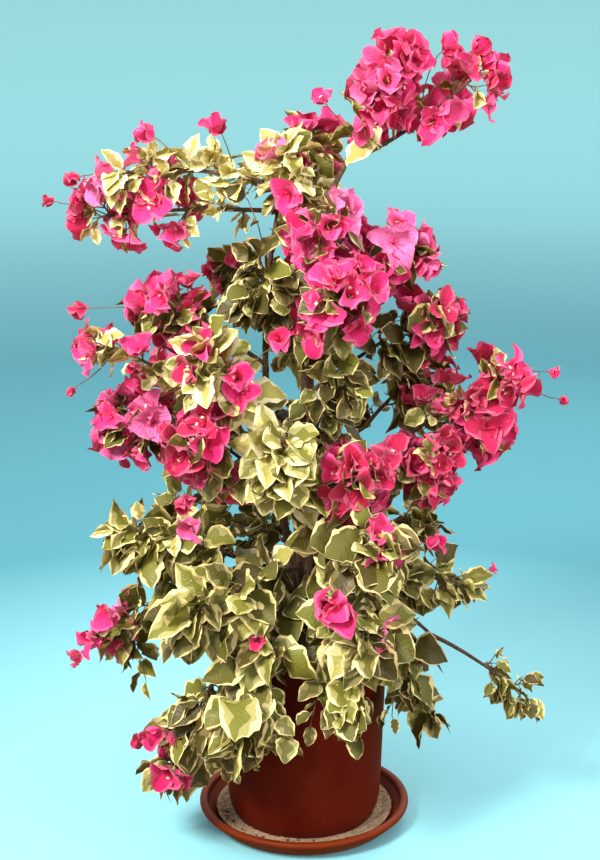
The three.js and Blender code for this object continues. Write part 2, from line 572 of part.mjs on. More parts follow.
// Makers of what a twig carries: a bloom or a leaf at its end first, then more along it. The twig
// is shorter each time its end is tried again, so that what it ends in draws back to its space.
function carriedBy(twig, spray) {
  const wanted = twig.share < spray.bloomFrom ? 0 : spray.blooms;
  const blooms = Math.floor(wanted + twig.random());
  const leaves = Math.floor(spray.leaves * CARRIED.sideLeaves + twig.random());
  const [endAt, whole] = [blooms > 0 ? bloomAt : leafAt, twig.length];
  const atEnd = (attempt) => {
    twig.length = whole * (1 - ATTEMPTS.shorten * attempt);
    return endAt(twig, spray, 0, 1, CARRIED.endAngle, attempt);
  };
  const atSide = (makeAt, i) => (attempt) => (
    makeAt(twig, spray, i, CARRIED.sideStart - CARRIED.sideStep * i, CARRIED.sideAngle, attempt)
  );
  const sides = (makeAt, count) => Array.from({ length: count }, (_, i) => atSide(makeAt, i + 1));
  return [atEnd, ...sides(bloomAt, Math.max(0, blooms - 1)), ...sides(leafAt, leaves)];
}

// Points spread over a leaf or a bloom, which stand for it where its room is tested.
function probeOf({ leaf, bloom }) {
  if (bloom) {
    const { heart, tips, notches } = bloomPoints(bloom);
    const rims = tips.flatMap((tip, i) => (
      [notches[i], notches[(i + 1) % 3], heart].map((place) => between(tip, place))
    ));
    return [heart, ...tips, ...notches, ...rims];
  }
  const { ring: [rib, right, left], tip } = bladePoints(leaf);
  const lengthwise = (place) => [
    place, between(leaf.root, place, PROBE.foot), ...PROBE.blade.map((share) => between(place, tip, share)),
  ];
  return [tip, between(rib, right), between(rib, left), ...[rib, right, left].flatMap(lengthwise)];
}

// True where a blade's or bloom's points keep to the spray's space and clear of limbs and pot.
function fits(probe, spray, plant) {
  return probe.every(
    (point) => ownSpace(spray, plant.sprays, point) && clearOfRest(plant.limbs, point),
  );
}

const stemRadius = (t) => STEM.radius + (STEM.tipRadius - STEM.radius) * t;

function stemSolid(course) {
  const chord = course.getPoint(1).sub(course.getPoint(0)).normalize();
  const spans = [Math.abs(chord.x), Math.abs(chord.y), Math.abs(chord.z)];
  const reference = new THREE.Vector3().setComponent(spans.indexOf(Math.min(...spans)), 1);
  const rings = [];
  for (let i = 0; i <= STEM.steps; i += 1) {
    const t = i / STEM.steps;
    const tangent = course.getTangent(t);
    const up = reference.clone().addScaledVector(tangent, -reference.dot(tangent)).normalize();
    rings.push(ringOfThree(course.getPoint(t), up.clone().cross(tangent), up, stemRadius(t)));
  }
  return threeSidedSolid(rings, flatEnd);
}

// A twig and what it ends in, as one body.
function twigSolid(twig, end) {
  const footRadius = TWIG.radiusShare * stemRadius(twig.at);
  if (end.bloom) {
    const places = bloomPoints(end.bloom);
    const foot = places.neck.map((point) => point.clone().sub(end.bloom.root)
      .multiplyScalar(footRadius / TWIG.neckRadius).add(twig.root));
    return threeSidedSolid([foot, places.neck, places.notches], bloomEnd(places));
  }
  const { side, tip, ring } = bladePoints(end.leaf);
  const foot = ringOfThree(twig.root, side, end.leaf.up, footRadius);
  const neck = ringOfThree(end.leaf.root, side, end.leaf.up, TWIG.neckRadius);
  return threeSidedSolid([foot, neck, ring], pointedEnd(tip));
}

// The spray's stem is cut clear of its limb, then twigs, leaves and blossom are joined to it.
// What would leave the spray's space or cut through what has grown is tried smaller and turned,
// and at last left out.
function growSpray(spray, plant) {
  let grown = cutClear(stemSolid(spray.course), [spray.parent]);
  const join = (maker, largest, makeSolid) => {
    for (let attempt = 0; attempt < ATTEMPTS.most; attempt += 1) {
      const item = maker(attempt);
      if (!fits(probeOf(item), spray, plant)) continue;
      const solid = makeSolid(item);
      if (grown.intersect(solid).volume() > largest) continue;
      grown = grown.add(solid);
      return true;
    }
    return false;
  };
  const bladeAlone = (item) => (item.bloom ? bloomSolid(item.bloom) : leafSolid(item.leaf));
  for (const twig of twigPlan(spray)) {
    if (!fitTwig(twig, spray, plant)) continue;
    const [endMaker, ...others] = carriedBy(twig, spray);
    if (!join(endMaker, LARGEST_JOINT.twig, (item) => twigSolid(twig, item))) continue;
    others.forEach((maker) => join(maker, LARGEST_JOINT.blade, bladeAlone));
  }
  return largestBody(grown);
}

// ---------- assembly ----------

function withRings(limb) {
  limb.rings = ringsAlong(limb.curve, LIMB_CLEARANCE.step, limb.radiusAt);
  return limb;
}

function makeLimbs() {
  const trunk = withRings(trunkLimb());
  const limbs = { trunk };
  for (const [name, cane] of Object.entries(CANES)) limbs[name] = withRings(caneLimb(name, cane, trunk));
  for (const [name, bough] of Object.entries(BOUGHS)) limbs[name] = withRings(boughLimb(name, bough, limbs));
  return limbs;
}

const plant = new THREE.Group();
plant.name = "potted_bougainvillea";

function addPiece(name, geometry, material) {
  const mesh = new THREE.Mesh(geometry, material);
  mesh.name = name;
  plant.add(mesh);
}

addPiece("saucer", closedGeometry(saucerGeometry()), MATERIALS.saucer);
addPiece("pot", closedGeometry(potGeometry()), MATERIALS.pot);
addPiece("grit", closedGeometry(gritGeometry()), MATERIALS.grit);
addPiece("soil", closedGeometry(soilGeometry()), MATERIALS.soil);

const limbs = makeLimbs();
const limbList = Object.values(limbs);
limbList.forEach((limb, index) => {
  // Each limb is cut clear of its parent, and of the canes that leave the trunk before it.
  const earlier = limbList.slice(0, index).filter((other) => other === limb.parent
    || (other.parent === limb.parent && limb.name.startsWith("cane")));
  const whole = limb.parent ? limbSolid(limb) : cutAtSoil(limbSolid(limb));
  addPiece(limb.name, toGeometry(cutClear(whole, earlier)), MATERIALS.bark);
});

for (const spray of SPRAYS) {
  spray.parent = limbs[spray.limb];
  spray.course = stemCourse(spray.parent.curve.getPoint(spray.at), vec(spray.tip), spray.lift);
  spray.space = ringsAlong(spray.course, SPACE.step, (t) => spaceRadius(spray, t));
}
for (const spray of SPRAYS) {
  const solid = growSpray(spray, { sprays: SPRAYS, limbs: limbList });
  addPiece(spray.name, toGeometry(solid), spray.blooms >= 1 ? MATERIALS.blossom : MATERIALS.leaf);
}

export default plant;
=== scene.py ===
"""A potted bougainvillea in bloom: pot, saucer, woody canes, cream-edged leaves and papery bracts.

The plant grows by one seeded rule. Canes leave a short trunk, sprays leave the canes, and each
spray carries twigs, finer twigs, leaves and bracts that keep to its reach. Growth is worked out
in millimetres and meshes are written in metres.
"""
import math

import bmesh
import bpy
import numpy as np
from bpy.props import FloatProperty, FloatVectorProperty, PointerProperty
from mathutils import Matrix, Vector


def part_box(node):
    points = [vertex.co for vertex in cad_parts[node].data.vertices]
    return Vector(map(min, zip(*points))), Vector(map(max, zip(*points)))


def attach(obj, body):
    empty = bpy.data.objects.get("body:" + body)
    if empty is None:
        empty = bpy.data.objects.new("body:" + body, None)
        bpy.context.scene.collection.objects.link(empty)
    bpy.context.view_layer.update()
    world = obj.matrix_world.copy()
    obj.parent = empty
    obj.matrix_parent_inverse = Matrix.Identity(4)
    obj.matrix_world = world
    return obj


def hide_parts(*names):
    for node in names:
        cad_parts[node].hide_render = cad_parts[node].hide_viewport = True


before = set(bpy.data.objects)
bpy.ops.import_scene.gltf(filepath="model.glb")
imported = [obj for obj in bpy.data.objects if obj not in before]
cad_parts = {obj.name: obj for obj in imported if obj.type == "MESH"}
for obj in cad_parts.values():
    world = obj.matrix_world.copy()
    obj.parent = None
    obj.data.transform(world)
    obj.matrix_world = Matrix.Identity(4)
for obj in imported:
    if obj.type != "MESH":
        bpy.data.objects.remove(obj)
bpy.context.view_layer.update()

bl_info = {
    "name": "Potted bougainvillea",
    "version": (1, 0, 0),
    "blender": (4, 5, 0),
    "location": "3D View > Sidebar > Bougainvillea",
    "description": "Grows a flowering bougainvillea in a pot on a saucer",
    "category": "Add Mesh",
}

MM = 0.001
WELD = 1e-6  # points nearer than this, in metres, are one
TAU = 2 * math.pi
UP = np.array([0.0, 0.0, 1.0])
GOLDEN_ANGLE = math.radians(137.5)

# ---------- driving dimensions, in millimetres ----------

SAUCER = dict(foot=114, rim=135, inner_foot=111, inner_rim_glow=125, height=26, floor=5)
POT = dict(foot=84, heel=98, heel_height=22, rim=107, height=236, floor=5, wall=3.5, band=12,
           band_step=2)
SOIL = dict(below_rim_glow=22, mound=3, crumbs=900, crumb_sizes=(0.8, 2.4))
GRIT = dict(inner=88, depth=5, bank=4, banked=(100, 112), grains=1500, grain_ring=(90, 114),
            grain_sizes=(0.6, 1.7))
LITTER = dict(ring=104, angles=(3.3, 5.9), count=26, above=2, spread=(5, 5, 0.4), sizes=(1.4, 3.6))

POT_FOOT_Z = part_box("pot")[0].z / MM
POT_RIM_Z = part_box("pot")[1].z / MM
SOIL_Z = POT_RIM_Z - SOIL["below_rim_glow"]

TRUNK = dict(foot=(3, -1, SOIL_Z - 6), top=(-2, 3, SOIL_Z + 78), bow=(3, 2, 0), radius=10.5, flare=8,
             fork_at=0.86)

# Canes leave the trunk's head: their radii at foot and tip, and the points they pass through.
CANES = {
    "cane_crest": ((7, 2.6), [(6, 4, 400), (0, 10, 540), (10, 12, 680), (28, 10, 790), (58, 10, 858)]),
    "cane_left": ((5.6, 2.3), [(-24, 0, 390), (-42, 0, 500), (-47, 2, 620), (-40, 2, 730), (-26, 0, 810)]),
    "cane_back": ((5.6, 2.3), [(6, 46, 390), (10, 80, 500), (6, 92, 620), (0, 84, 740)]),
    "cane_right": ((5.2, 2.3), [(42, 6, 380), (78, 8, 440), (124, 10, 502)]),
    "cane_front": ((5, 2.3), [(-4, -42, 350), (-10, -68, 410), (-12, -72, 470)]),
    "cane_low_left": ((5, 2.3), [(-38, -10, 336), (-78, -12, 352)]),
    "cane_low_right": ((5, 2.3), [(40, -14, 330), (86, -14, 326)]),
    "cane_low_back": ((5, 2.3), [(2, 48, 334), (0, 92, 340)]),
}

# Boughs: the cane they leave, where on it, their tip, the lift of their middle and their radii.
BOUGHS = {
    "bough_left": ("cane_left", 0.22, (-108, 2, 484), 0.1, (3.6, 2.1)),
    "bough_right_thin": ("cane_low_right", 0.6, (162, 6, 244), 0.1, (3.4, 2)),
    "bough_left_droop": ("cane_low_left", 0.5, (-80, -88, 262), 0.3, (3.4, 2)),
    "bough_back_left": ("cane_back", 0.42, (-70, 110, 500), 0.1, (3.6, 2.1)),
    "bough_back_right": ("cane_back", 0.36, (78, 108, 490), 0.1, (3.6, 2.1)),
}

# Sprays, in the source's order. Bare is the leafless share of the stem, reach is how far twigs
# stand out, leaves and blooms are per twig, leaf is a length, cream is how pale the leaves are,
# both by the width of their cream margins and by their tint, whose sunlit and shaded copies are
# painted light and shade, and rose is how light the bracts are.
SPRAY_FIELDS = ("name", "limb", "at", "tip", "lift", "bare", "reach", "twigs", "leaves", "blooms",
                "bloom_from", "leaf", "droop", "cream", "rose")
SPRAYS = [
    ("crest", "cane_crest", 1, (110, 6, 946), 0.1, 0.12, 45, 8, 0.4, 2.4, 0, 46, 0.5, 0.8, 0.6),
    ("crest_tail", "cane_crest", 0.94, (198, 24, 936), -0.1, 0.5, 40, 6, 0.3, 1.6, 0, 34, 0.4, 0.8, 0.4),
    ("top_leaves", "cane_crest", 0.7, (-22, -18, 842), 0.05, 0.2, 44, 7, 2, 0.2, 0.6, 46, 0.5, 0.8, 0.5),
    ("arm_upper", "cane_left", 1, (-210, -22, 830), 0.12, 0.08, 36, 8, 2.3, 1.1, 0.4, 38, 0.1, 1, 0.6),
    ("arm_lower", "cane_left", 0.93, (-242, 2, 776), 0.05, 0.12, 38, 9, 1, 1.4, 0.3, 34, 0.3, 1, 0.5),
    ("upper_pink", "cane_crest", 0.62, (30, -62, 776), 0.02, 0.25, 48, 6, 1, 1.8, 0.2, 48, 0.5, 0.5, 0.8),
    ("upper_right", "cane_crest", 0.56, (113, -22, 744), 0.08, 0.3, 53, 8, 1, 2, 0, 52, 0.7, 0.4, 0.6),
    ("front_pink", "cane_crest", 0.5, (42, -102, 694), 0.05, 0.3, 54, 7, 0.8, 1.9, 0, 52, 0.7, 0.3, 0.4),
    ("shoulder", "cane_crest", 0.42, (150, -30, 666), 0.05, 0.45, 46, 7, 1.2, 1.7, 0.3, 50, 0.8, 0.3, 0.25),
    ("left_upper", "cane_left", 0.56, (-166, -20, 672), 0.06, 0.3, 50, 7, 1.2, 1.9, 0.2, 48, 0.7, 0.4, 0.4),
    ("heart_upper", "cane_left", 0.6, (-48, -52, 718), 0, 0.15, 56, 7, 2, 0.2, 0.5, 46, 0.8, 0.36, 0.3),
    ("left_cream", "cane_left", 0.44, (-240, -44, 632), 0.04, 0.3, 26, 8, 1.4, 0.35, 0.4, 40, 0.5, 1, 0.2),
    ("left_outer", "bough_left", 1, (-214, -12, 532), 0.15, 0.08, 52, 8, 0.9, 2.1, 0, 48, 0.7, 0.4, 0.7),
    ("left_inner", "cane_left", 0.28, (-114, -96, 530), 0.1, 0.3, 56, 8, 1, 1.9, 0.2, 50, 0.8, 0.4, 0.35),
    ("cream_band", "cane_left", 0.38, (-108, -104, 628), 0.02, 0.25, 50, 6, 2, 0.5, 0.4, 52, 0.5, 0.8, 0.3),
    ("heart_mid", "cane_crest", 0.3, (32, -60, 596), 0.02, 0.25, 60, 7, 1.9, 0.1, 1, 46, 0.9, 0.32, 0.3),
    ("right_inner", "cane_right", 0.42, (56, -98, 490), 0.1, 0.25, 54, 7, 0.8, 1.9, 0, 52, 0.8, 0.4, 0.3),
    ("right_outer", "cane_right", 0.72, (144, -34, 474), 0.15, 0.15, 48, 7, 0.8, 2.1, 0, 50, 0.8, 0.4, 0.15),
    ("right_arm", "cane_right", 1, (236, 0, 584), 0.04, 0.1, 32, 8, 0.8, 1.4, 0.1, 36, 0.5, 0.75, 0.25),
    ("right_arm_low", "cane_right", 0.92, (222, 12, 520), 0, 0.25, 42, 6, 0.8, 1.9, 0.2, 42, 0.6, 0.5, 0.2),
    ("low_left", "cane_low_left", 1, (-204, -22, 384), 0.08, 0.06, 56, 9, 1.9, 0, 1, 56, 0.7, 0.55, 0.4),
    ("left_skirt", "cane_low_left", 0.82, (-220, -34, 276), 0.1, 0.1, 56, 7, 1.7, 1.3, 0.7, 54, 0.9,
     0.4, 0.5),
    ("low_front_left", "cane_front", 0.35, (-126, -124, 324), 0.08, 0.2, 62, 8, 2, 0, 1, 60, 0.8, 0.5, 0.4),
    ("low_front", "cane_front", 0.12, (-72, -166, 208), 0.4, 0.28, 64, 9, 2, 0, 1, 64, 1, 0.45, 0.3),
    ("low_front_right", "cane_front", 0.55, (80, -134, 408), 0.06, 0.3, 58, 8, 2, 0.15, 0.6, 62, 0.8,
     0.4, 0.4),
    ("low_right", "cane_low_right", 0.3, (76, -142, 300), 0.34, 0.28, 56, 8, 1.9, 0.5, 0.7, 60, 1, 0.45, 0.8),
    ("right_low", "cane_low_right", 1, (190, -12, 322), 0.1, 0.08, 35, 7, 1.6, 0.2, 0.8, 46, 0.7, 0.5, 0.3),
    ("right_skirt", "cane_low_right", 0.86, (148, -56, 178), 0.2, 0.08, 44, 7, 1.5, 0, 1, 52, 1, 0.35, 0.3),
    ("right_thin", "bough_right_thin", 1, (280, -18, 172), 0.08, 0.5, 28, 6, 1.4, 0, 1, 34, 1, 0.5, 0.3),
    ("left_droop", "bough_left_droop", 1, (-156, -96, 122), 0.2, 0.35, 44, 8, 1.7, 0.9, 0.5, 54, 1,
     0.45, 0.3),
    ("front_thin", "cane_low_right", 0.12, (46, -158, 222), 0.55, 0.3, 42, 8, 1.8, 0, 1, 50, 1, 0.45, 0.3),
    ("centre_cream", "cane_front", 0.84, (-26, -114, 526), 0, 0.2, 54, 6, 2, 0, 1, 56, 0.8, 0.66, 0.3),
    ("back_top", "cane_back", 1, (6, 66, 856), 0, 0.1, 52, 6, 1.6, 0.8, 0.3, 46, 0.4, 0.5, 0.5),
    ("back_left_high", "cane_back", 0.82, (-84, 104, 700), 0.05, 0.25, 56, 7, 1.5, 1, 0.6, 50, 0.6, 0.4, 0.5),
    ("back_right_high", "cane_back", 0.86, (98, 100, 706), 0.02, 0.25, 56, 7, 1.4, 1.1, 0.2, 50, 0.6,
     0.4, 0.6),
    ("back_mid", "cane_back", 0.62, (12, 204, 628), 0.05, 0.25, 60, 7, 1.6, 0.9, 0.3, 52, 0.7, 0.4, 0.4),
    ("back_left", "bough_back_left", 1, (-158, 134, 548), 0.12, 0.1, 56, 7, 1.4, 1.1, 0.2, 50, 0.8, 0.4, 0.6),
    ("back_right", "bough_back_right", 1, (150, 128, 556), 0.1, 0.1, 56, 7, 1.4, 1.1, 0.2, 50, 0.8, 0.4, 0.5),
    ("back_low", "cane_low_back", 1, (4, 226, 420), 0.1, 0.1, 64, 7, 2, 0.1, 0.5, 56, 0.8, 0.45, 0.4),
    ("back_low_left", "cane_low_back", 0.6, (-158, 142, 366), 0.12, 0.2, 60, 7, 1.9, 0.2, 0.6, 56, 0.8,
     0.45, 0.4),
    ("back_low_right", "cane_low_back", 0.74, (132, 140, 352), 0.12, 0.2, 60, 7, 1.9, 0.2, 0.6, 56,
     0.8, 0.45, 0.4),
    ("back_skirt", "cane_low_back", 0.87, (-4, 200, 216), 0.32, 0.3, 60, 7, 1.9, 0, 1, 54, 1, 0.4, 0.4),
]

# Single blooms on fine twigs of their own: their spray, where on its stem, their place, their size
# and how far from crimson to orchid they are.
LONE_BLOOMS = [
    ("crest", 0.05, (27, -10, 905), 0.6, 0.6),
    ("crest_tail", 0.6, (154, 16, 960), 0.9, 0.6),
    ("crest_tail", 0.85, (194, 20, 960), 0.8, 0.3),
    ("crest_tail", 0.6, (160, 10, 940), 0.7, 0.4),
    ("top_leaves", 0.6, (-13, -60, 812), 0.95, 0.5),
    ("arm_upper", 0.3, (-93, -30, 870), 0.85, 0.3),
    ("arm_upper", 0.62, (-167, -30, 868), 0.85, 0.5),
    ("arm_upper", 0.9, (-256, -10, 826), 0.6, 0.1),
    ("arm_lower", 0.95, (-288, 0, 792), 0.45, 0.1),
    ("left_upper", 0.75, (-249, -30, 672), 0.7, 0.1),
    ("left_cream", 0.6, (-188, -60, 606), 0.55, 0),
    ("left_cream", 0.92, (-267, -40, 582), 0.4, 0),
    ("left_inner", 0.9, (-121, -134, 447), 0.85, 0.7),
    ("left_inner", 0.8, (-130, -124, 474), 0.75, 0.1),
    ("cream_band", 0.8, (-76, -148, 612), 0.85, 0.2),
    ("cream_band", 0.6, (-29, -132, 650), 0.75, 0.2),
    ("low_right", 0.5, (24, -182, 366), 1.2, 0.5),
    ("low_right", 0.52, (36, -186, 350), 1.1, 0.6),
    ("left_droop", 0.7, (-166, -114, 172), 0.8, 0.2),
    ("left_droop", 0.8, (-184, -108, 154), 0.6, 0.05),
    ("left_droop", 0.9, (-160, -122, 128), 1, 0.4),
    ("left_skirt", 0.8, (-222, -74, 306), 0.9, 0.5),
    ("left_skirt", 0.9, (-244, -72, 272), 0.85, 0.5),
    ("left_skirt", 0.95, (-268, -62, 252), 0.6, 0.1),
    ("low_front", 0.6, (-51, -190, 320), 0.5, 0),
    ("low_front_right", 0.9, (133, -150, 418), 0.75, 0.2),
    ("right_low", 0.9, (223, -20, 338), 0.35, 0.2),
    ("right_arm", 0.9, (290, 0, 588), 0.45, 0.2),
    ("right_arm", 0.85, (302, 0, 555), 0.35, 0),
]

# Loose leafy twigs that hang past their spray: their spray, where on its stem they leave, their
# tip, their count of leaves and how large the leaves are.
LOOSE_TWIGS = [
    ("crest", 0.2, (72, -16, 872), 3, 1),
    ("crest", 0.45, (98, -6, 906), 2, 0.7),
    ("heart_upper", 0.5, (-66, -30, 800), 4, 0.9),
    ("low_front", 0.9, (-58, -150, 172), 6, 0.78),
    ("low_front", 0.8, (-14, -156, 176), 6, 0.78),
    ("front_thin", 0.8, (8, -152, 196), 5, 0.78),
    ("low_right", 0.9, (62, -156, 190), 5, 0.78),
    ("left_droop", 0.7, (-86, -142, 132), 6, 0.78),
    ("right_skirt", 0.5, (106, -112, 186), 5, 0.78),
    ("low_left", 0.8, (-226, -44, 400), 5, 0.78),
    ("left_skirt", 0.9, (-196, -60, 212), 5, 0.78),
]

STEM = dict(radius=3.0, tip_radius=1.5, rings=24, wander=1.2, wander_length=30)
TWIG = dict(radius=1.35, tip_radius=0.8, angles=(0.75, 1.15), lengths=(0.6, 1), sag=0.12, bow=0.08,
            shortest=14, look_ahead=0.1, shorten=0.8)
LAST_TWIG = dict(at=0.985, angle=0.2, shorter=0.5)
FINER = dict(places=(0.3, 0.62), lengths=(0.75, 0.55), angle=0.85, radius=0.9, tip_radius=0.6)
STATIONS = (1, 0.78, 0.56, 0.36, 0.18)  # where leaves and blooms leave a twig
STALK = dict(leaf_radius=0.55, bloom_radius=0.6, arch=0.12)

# Lean, hang and face are weights of outward and upward in the way of a leaf or bloom and in a leaf's
# upper side. Guards are the shares of its length that have to find room.
LEAF = dict(sizes=(0.5, 0.96), tip_smaller=0.2, around=2.6, spread=1.6, lean=0.35, hang=0.62,
            facing=2.4, face_out=0.45, hang_out=0.5, face_up=0.75, hang_up=0.3, stalk=0.22, width=0.82,
            side_angle=1.05, end_angle=0.3, cream_spread=0.35, tint_spread=0.3, plain_share=0.4,
            guards=(0.4, 1))
BLOOM = dict(sizes=(0.76, 1.08), around=2.2, spread=2.0, lean=0.5, length=33, width=0.96,
             rim_glow_share=0.22, opening=0.8, openings=(-0.3, 0.25), tilts=(-0.14, 0.14),
             turns=(-0.15, 0.15), lengths=(0.9, 1.08), lone_opening=0.5, stalk=9, rose_spread=0.9,
             guard=0.6)
FLOWER = dict(length=15, lengths=(0.8, 1.1), tilts=(0.3, 0.5), radius=0.9, swelling=(0.7, 1, 0.8, 1.15),
              star=3.2, notch=0.45, raised=0.9, open_share=0.14)

# Blades, in shares of their length. Pairs are the ends of even draws, apart from the edge's limits
# and the middle and swing of the patch. Waves, frills and nicks run along the rim, with their size
# and count, and wander and patch are those of a leaf's green centre.
LEAF_BLADE = dict(widths=(0.82, 1.14), fullness=1.04, foot=0.45, tip=0.62, taper=0.5,
                  margin=0.4, wander=0.1, wander_waves=(5, 9), wander_frills=20, edge_limits=(0.15, 0.95),
                  patch=(0.55, 0.3), patch_waves=13, nicks=0.06, nick_waves=(12, 19),
                  waves=((0.05, 0.3), (5, 10)), frills=((0, 0.16), (16, 24)), bows=(-0.05, 0.45),
                  folds=(0, 0.5), curls=(-0.3, 0.5), twists=(-0.6, 0.6), twist_side=0.3, shorter=0.12)
LEAF_ROWS = np.array([0.02, 0.065, 0.13, 0.22, 0.32, 0.43, 0.54, 0.65, 0.76, 0.86, 0.94])
LEAF_COLUMNS = np.array([0, 0.2, 0.35, 0.5, 0.65, 0.8, 1.0])
LEAF_DEALT = np.array([2, 1, 0, 0, 1, 2])  # margin, edge and centre, by column
BRACT_BLADE = dict(widths=(0.86, 1.1), fullness=1.03, foot=0.5, tip=0.56, nicks=0.05, nick_waves=(11, 17),
                   waves=((0.08, 0.27), (6, 10)), frills=((0.03, 0.15), (14, 20)), bows=(-0.12, 0.36),
                   cups=(0.3, 1.3), crease=0.08)
BRACT_ROWS = np.array([0.04, 0.13, 0.26, 0.42, 0.58, 0.73, 0.86, 0.95])
BRACT_COLUMNS = np.array([-1, -0.7, -0.35, 0, 0.35, 0.7, 1.0])
BRACT_DEALT = np.array([1, 0, 0, 0, 0, 1])  # rim and paper, by column

# Ridges and cracks: how far they stand out, and their noise's scale round a limb and length on it.
BARK = dict(ridge=0.1, ridges=(1.9, 17), crack=0.05, cracks=(4.5, 5), node=0.16, node_step=27,
            node_width=2.4)
THORN = dict(length=9, lengths=(0.7, 1.3), radius=0.9, per_limb=9, along=(0.1, 0.98), angle=1.1, sunk=0.6,
             bend=0.25, taper=(1, 0.7, 0.36, 0.06))
SPACE = dict(stem_radius=9, limit=1.4, rings=40, opens_before=0.8, opens_over=0.25)
POT_CLEARANCE = 3
FLOOR_CLEARANCE = 4
ATTEMPTS = dict(most=5, shrink=0.07)
LOOSE_FOOT = 0.35  # the share of a loose twig where its leaves begin
SEEDS = dict(first=101, step=37, plan=1000, spray=100000, twig=100, attempt=7919, lone=500, loose=700)

# The stage, in metres and watts: each light's place, size, power and colour.
LIGHT_TARGET = (0, 0, 0.5)
LIGHTS = [
    ("key", (-1.3, -1.7, 2.3), 0.7, 105, (1, 0.98, 0.94)),
    ("fill", (1.8, -1.4, 1.4), 1.4, 26, (0.94, 0.98, 1)),
    ("rim", (0.8, 2.0, 1.9), 1.2, 24, (1, 0.99, 0.96)),
]
CAMERA = dict(place=(-0.0052, -2.0, 1.041), pitch=math.radians(14.74), lens=47.1, sensor=24)

# The floor, in millimetres: rings of its flat part, where it bends up, and its wall's top. Its
# colours lie at stops in shares of a span in metres.
FLOOR = dict(rings=(0, 300, 900, 2000, 4000), flat=5500, bend=1500, wall=(7000, 4500), span=8.0,
             stops=(0.055, 0.14, 0.35, 0.95))

# ---------- colours ----------

def srgb(red, green, blue):
    """A screen colour of 0 to 255 a channel, made linear by the screen's power curve."""
    c = np.array((red, green, blue)) / 255
    return tuple(np.where(c <= 0.04045, c / 12.92, ((c + 0.055) / 1.055) ** 2.4))


# Leaf tints: the margin, the grey-green edge of the centre and the centre. The sunlit and shaded
# tints are painted light and shade, lighter and darker copies of the same leaf colours. Levels are
# where a tint gives way to the next: of how cream a leaf is, and of how rose a bloom is.
LEAF_TINTS = {
    "leaves_young": (srgb(255, 244, 192), srgb(236, 220, 150), srgb(184, 174, 92)),
    "leaves_sunlit": (srgb(252, 234, 160), srgb(176, 166, 98), srgb(124, 122, 46)),
    "leaves_mature": (srgb(246, 226, 158), srgb(154, 142, 84), srgb(102, 98, 38)),
    "leaves_shaded": (srgb(232, 206, 142), srgb(124, 108, 62), srgb(82, 72, 26)),
}
LEAF_LEVELS = (0.72, 0.5, 0.32)
BRACT_TINTS = {
    "bracts_crimson": srgb(207, 23, 80),
    "bracts_magenta": srgb(230, 30, 108),
    "bracts_hot_pink": srgb(242, 50, 126),
    "bracts_rose": srgb(246, 86, 152),
    "bracts_orchid": srgb(248, 118, 180),
}
BRACT_LEVELS = (0.12, 0.42, 0.68, 0.92)
# Painted light: the bract rim's paler pink stands in for light showing through the thin papery edge.
BRACT_RIM_GLOW = srgb(255, 170, 206)  # what the outermost strips of a bract pale towards
FLOWER_TINTS = dict(tube=srgb(206, 60, 104), star=srgb(250, 240, 200))
SOIL_DARK = srgb(30, 20, 14)
LITTER_STOPS = [(0.1, srgb(50, 14, 8)), (0.5, srgb(104, 34, 18))]
VEIN = dict(sharpness=3.0, rib_width=0.06, rib_slope=14.0, height=0.0006,
            leaf=dict(side_veins=52.0, slant=0.7, strength=0.5),
            bract=dict(side_veins=34.0, slant=1.1, strength=0.7))

# ---------- seeded draws and noise ----------

MASK = 0xFFFFFFFF


def seeded(seed):
    """Draws from 0 to 1, the same on every run: a 32-bit counter, mixed by shifts and products."""
    state = seed & MASK

    def draw():
        nonlocal state
        state = (state + 0x6D2B79F5) & MASK
        t = ((state ^ (state >> 15)) * (state | 1)) & MASK
        t = ((t + (((t ^ (t >> 7)) * (t | 61)) & MASK)) & MASK) ^ t
        return ((t ^ (t >> 14)) & MASK) / 4294967296

    return draw


def lattice(cells, seed):
    """A number from 0 to 1 for each whole-number cell (n, 3), by integer hashing."""
    x, y, z = (cells[..., i].astype(np.int64) for i in range(3))
    h = (x * 374761393 + y * 668265263 + z * 1440670441 + seed * 974634777) & MASK
    h = ((h ^ (h >> 13)) * 1274126177) & MASK
    return (h ^ (h >> 16)) / MASK


def noise(points, seed=0):
    """Smooth noise from -1 to 1: cell values blended along each axis by 3t^2 - 2t^3."""
    base = np.floor(points)
    t = points - base
    t = t * t * (3 - 2 * t)
    total = 0.0
    for corner in np.ndindex(2, 2, 2):
        weight = np.prod(np.where(np.array(corner) == 1, t, 1 - t), axis=-1)
        total = total + weight * lattice(base + corner, seed)
    return 2 * total - 1


# ---------- vectors and curves ----------

def unit(v):
    return v / np.linalg.norm(v, axis=-1, keepdims=True)


def lerp(a, b, t):
    return a + (b - a) * t


def smoothstep(x, low, high):
    t = np.clip((x - low) / (high - low), 0, 1)
    return t * t * (3 - 2 * t)


def leaving_direction(axis, azimuth, angle):
    """The direction that leaves an axis at an angle, turned round it by an azimuth."""
    reference = np.zeros(3)
    reference[np.argmin(np.abs(axis))] = 1
    across = unit(reference - axis * reference.dot(axis))
    third = np.cross(axis, across)
    return (axis * math.cos(angle) + across * math.sin(angle) * math.cos(azimuth)
            + third * math.sin(angle) * math.sin(azimuth))


def bezier(start, middle, tip):
    """A curve on t: the square-weighted mean of three points, and its direction."""
    start, middle, tip = (np.asarray(p, float) for p in (start, middle, tip))

    def point(t):
        return (1 - t) ** 2 * start + 2 * t * (1 - t) * middle + t * t * tip

    def tangent(t):
        return unit((1 - t) * (middle - start) + t * (tip - middle))

    return point, tangent


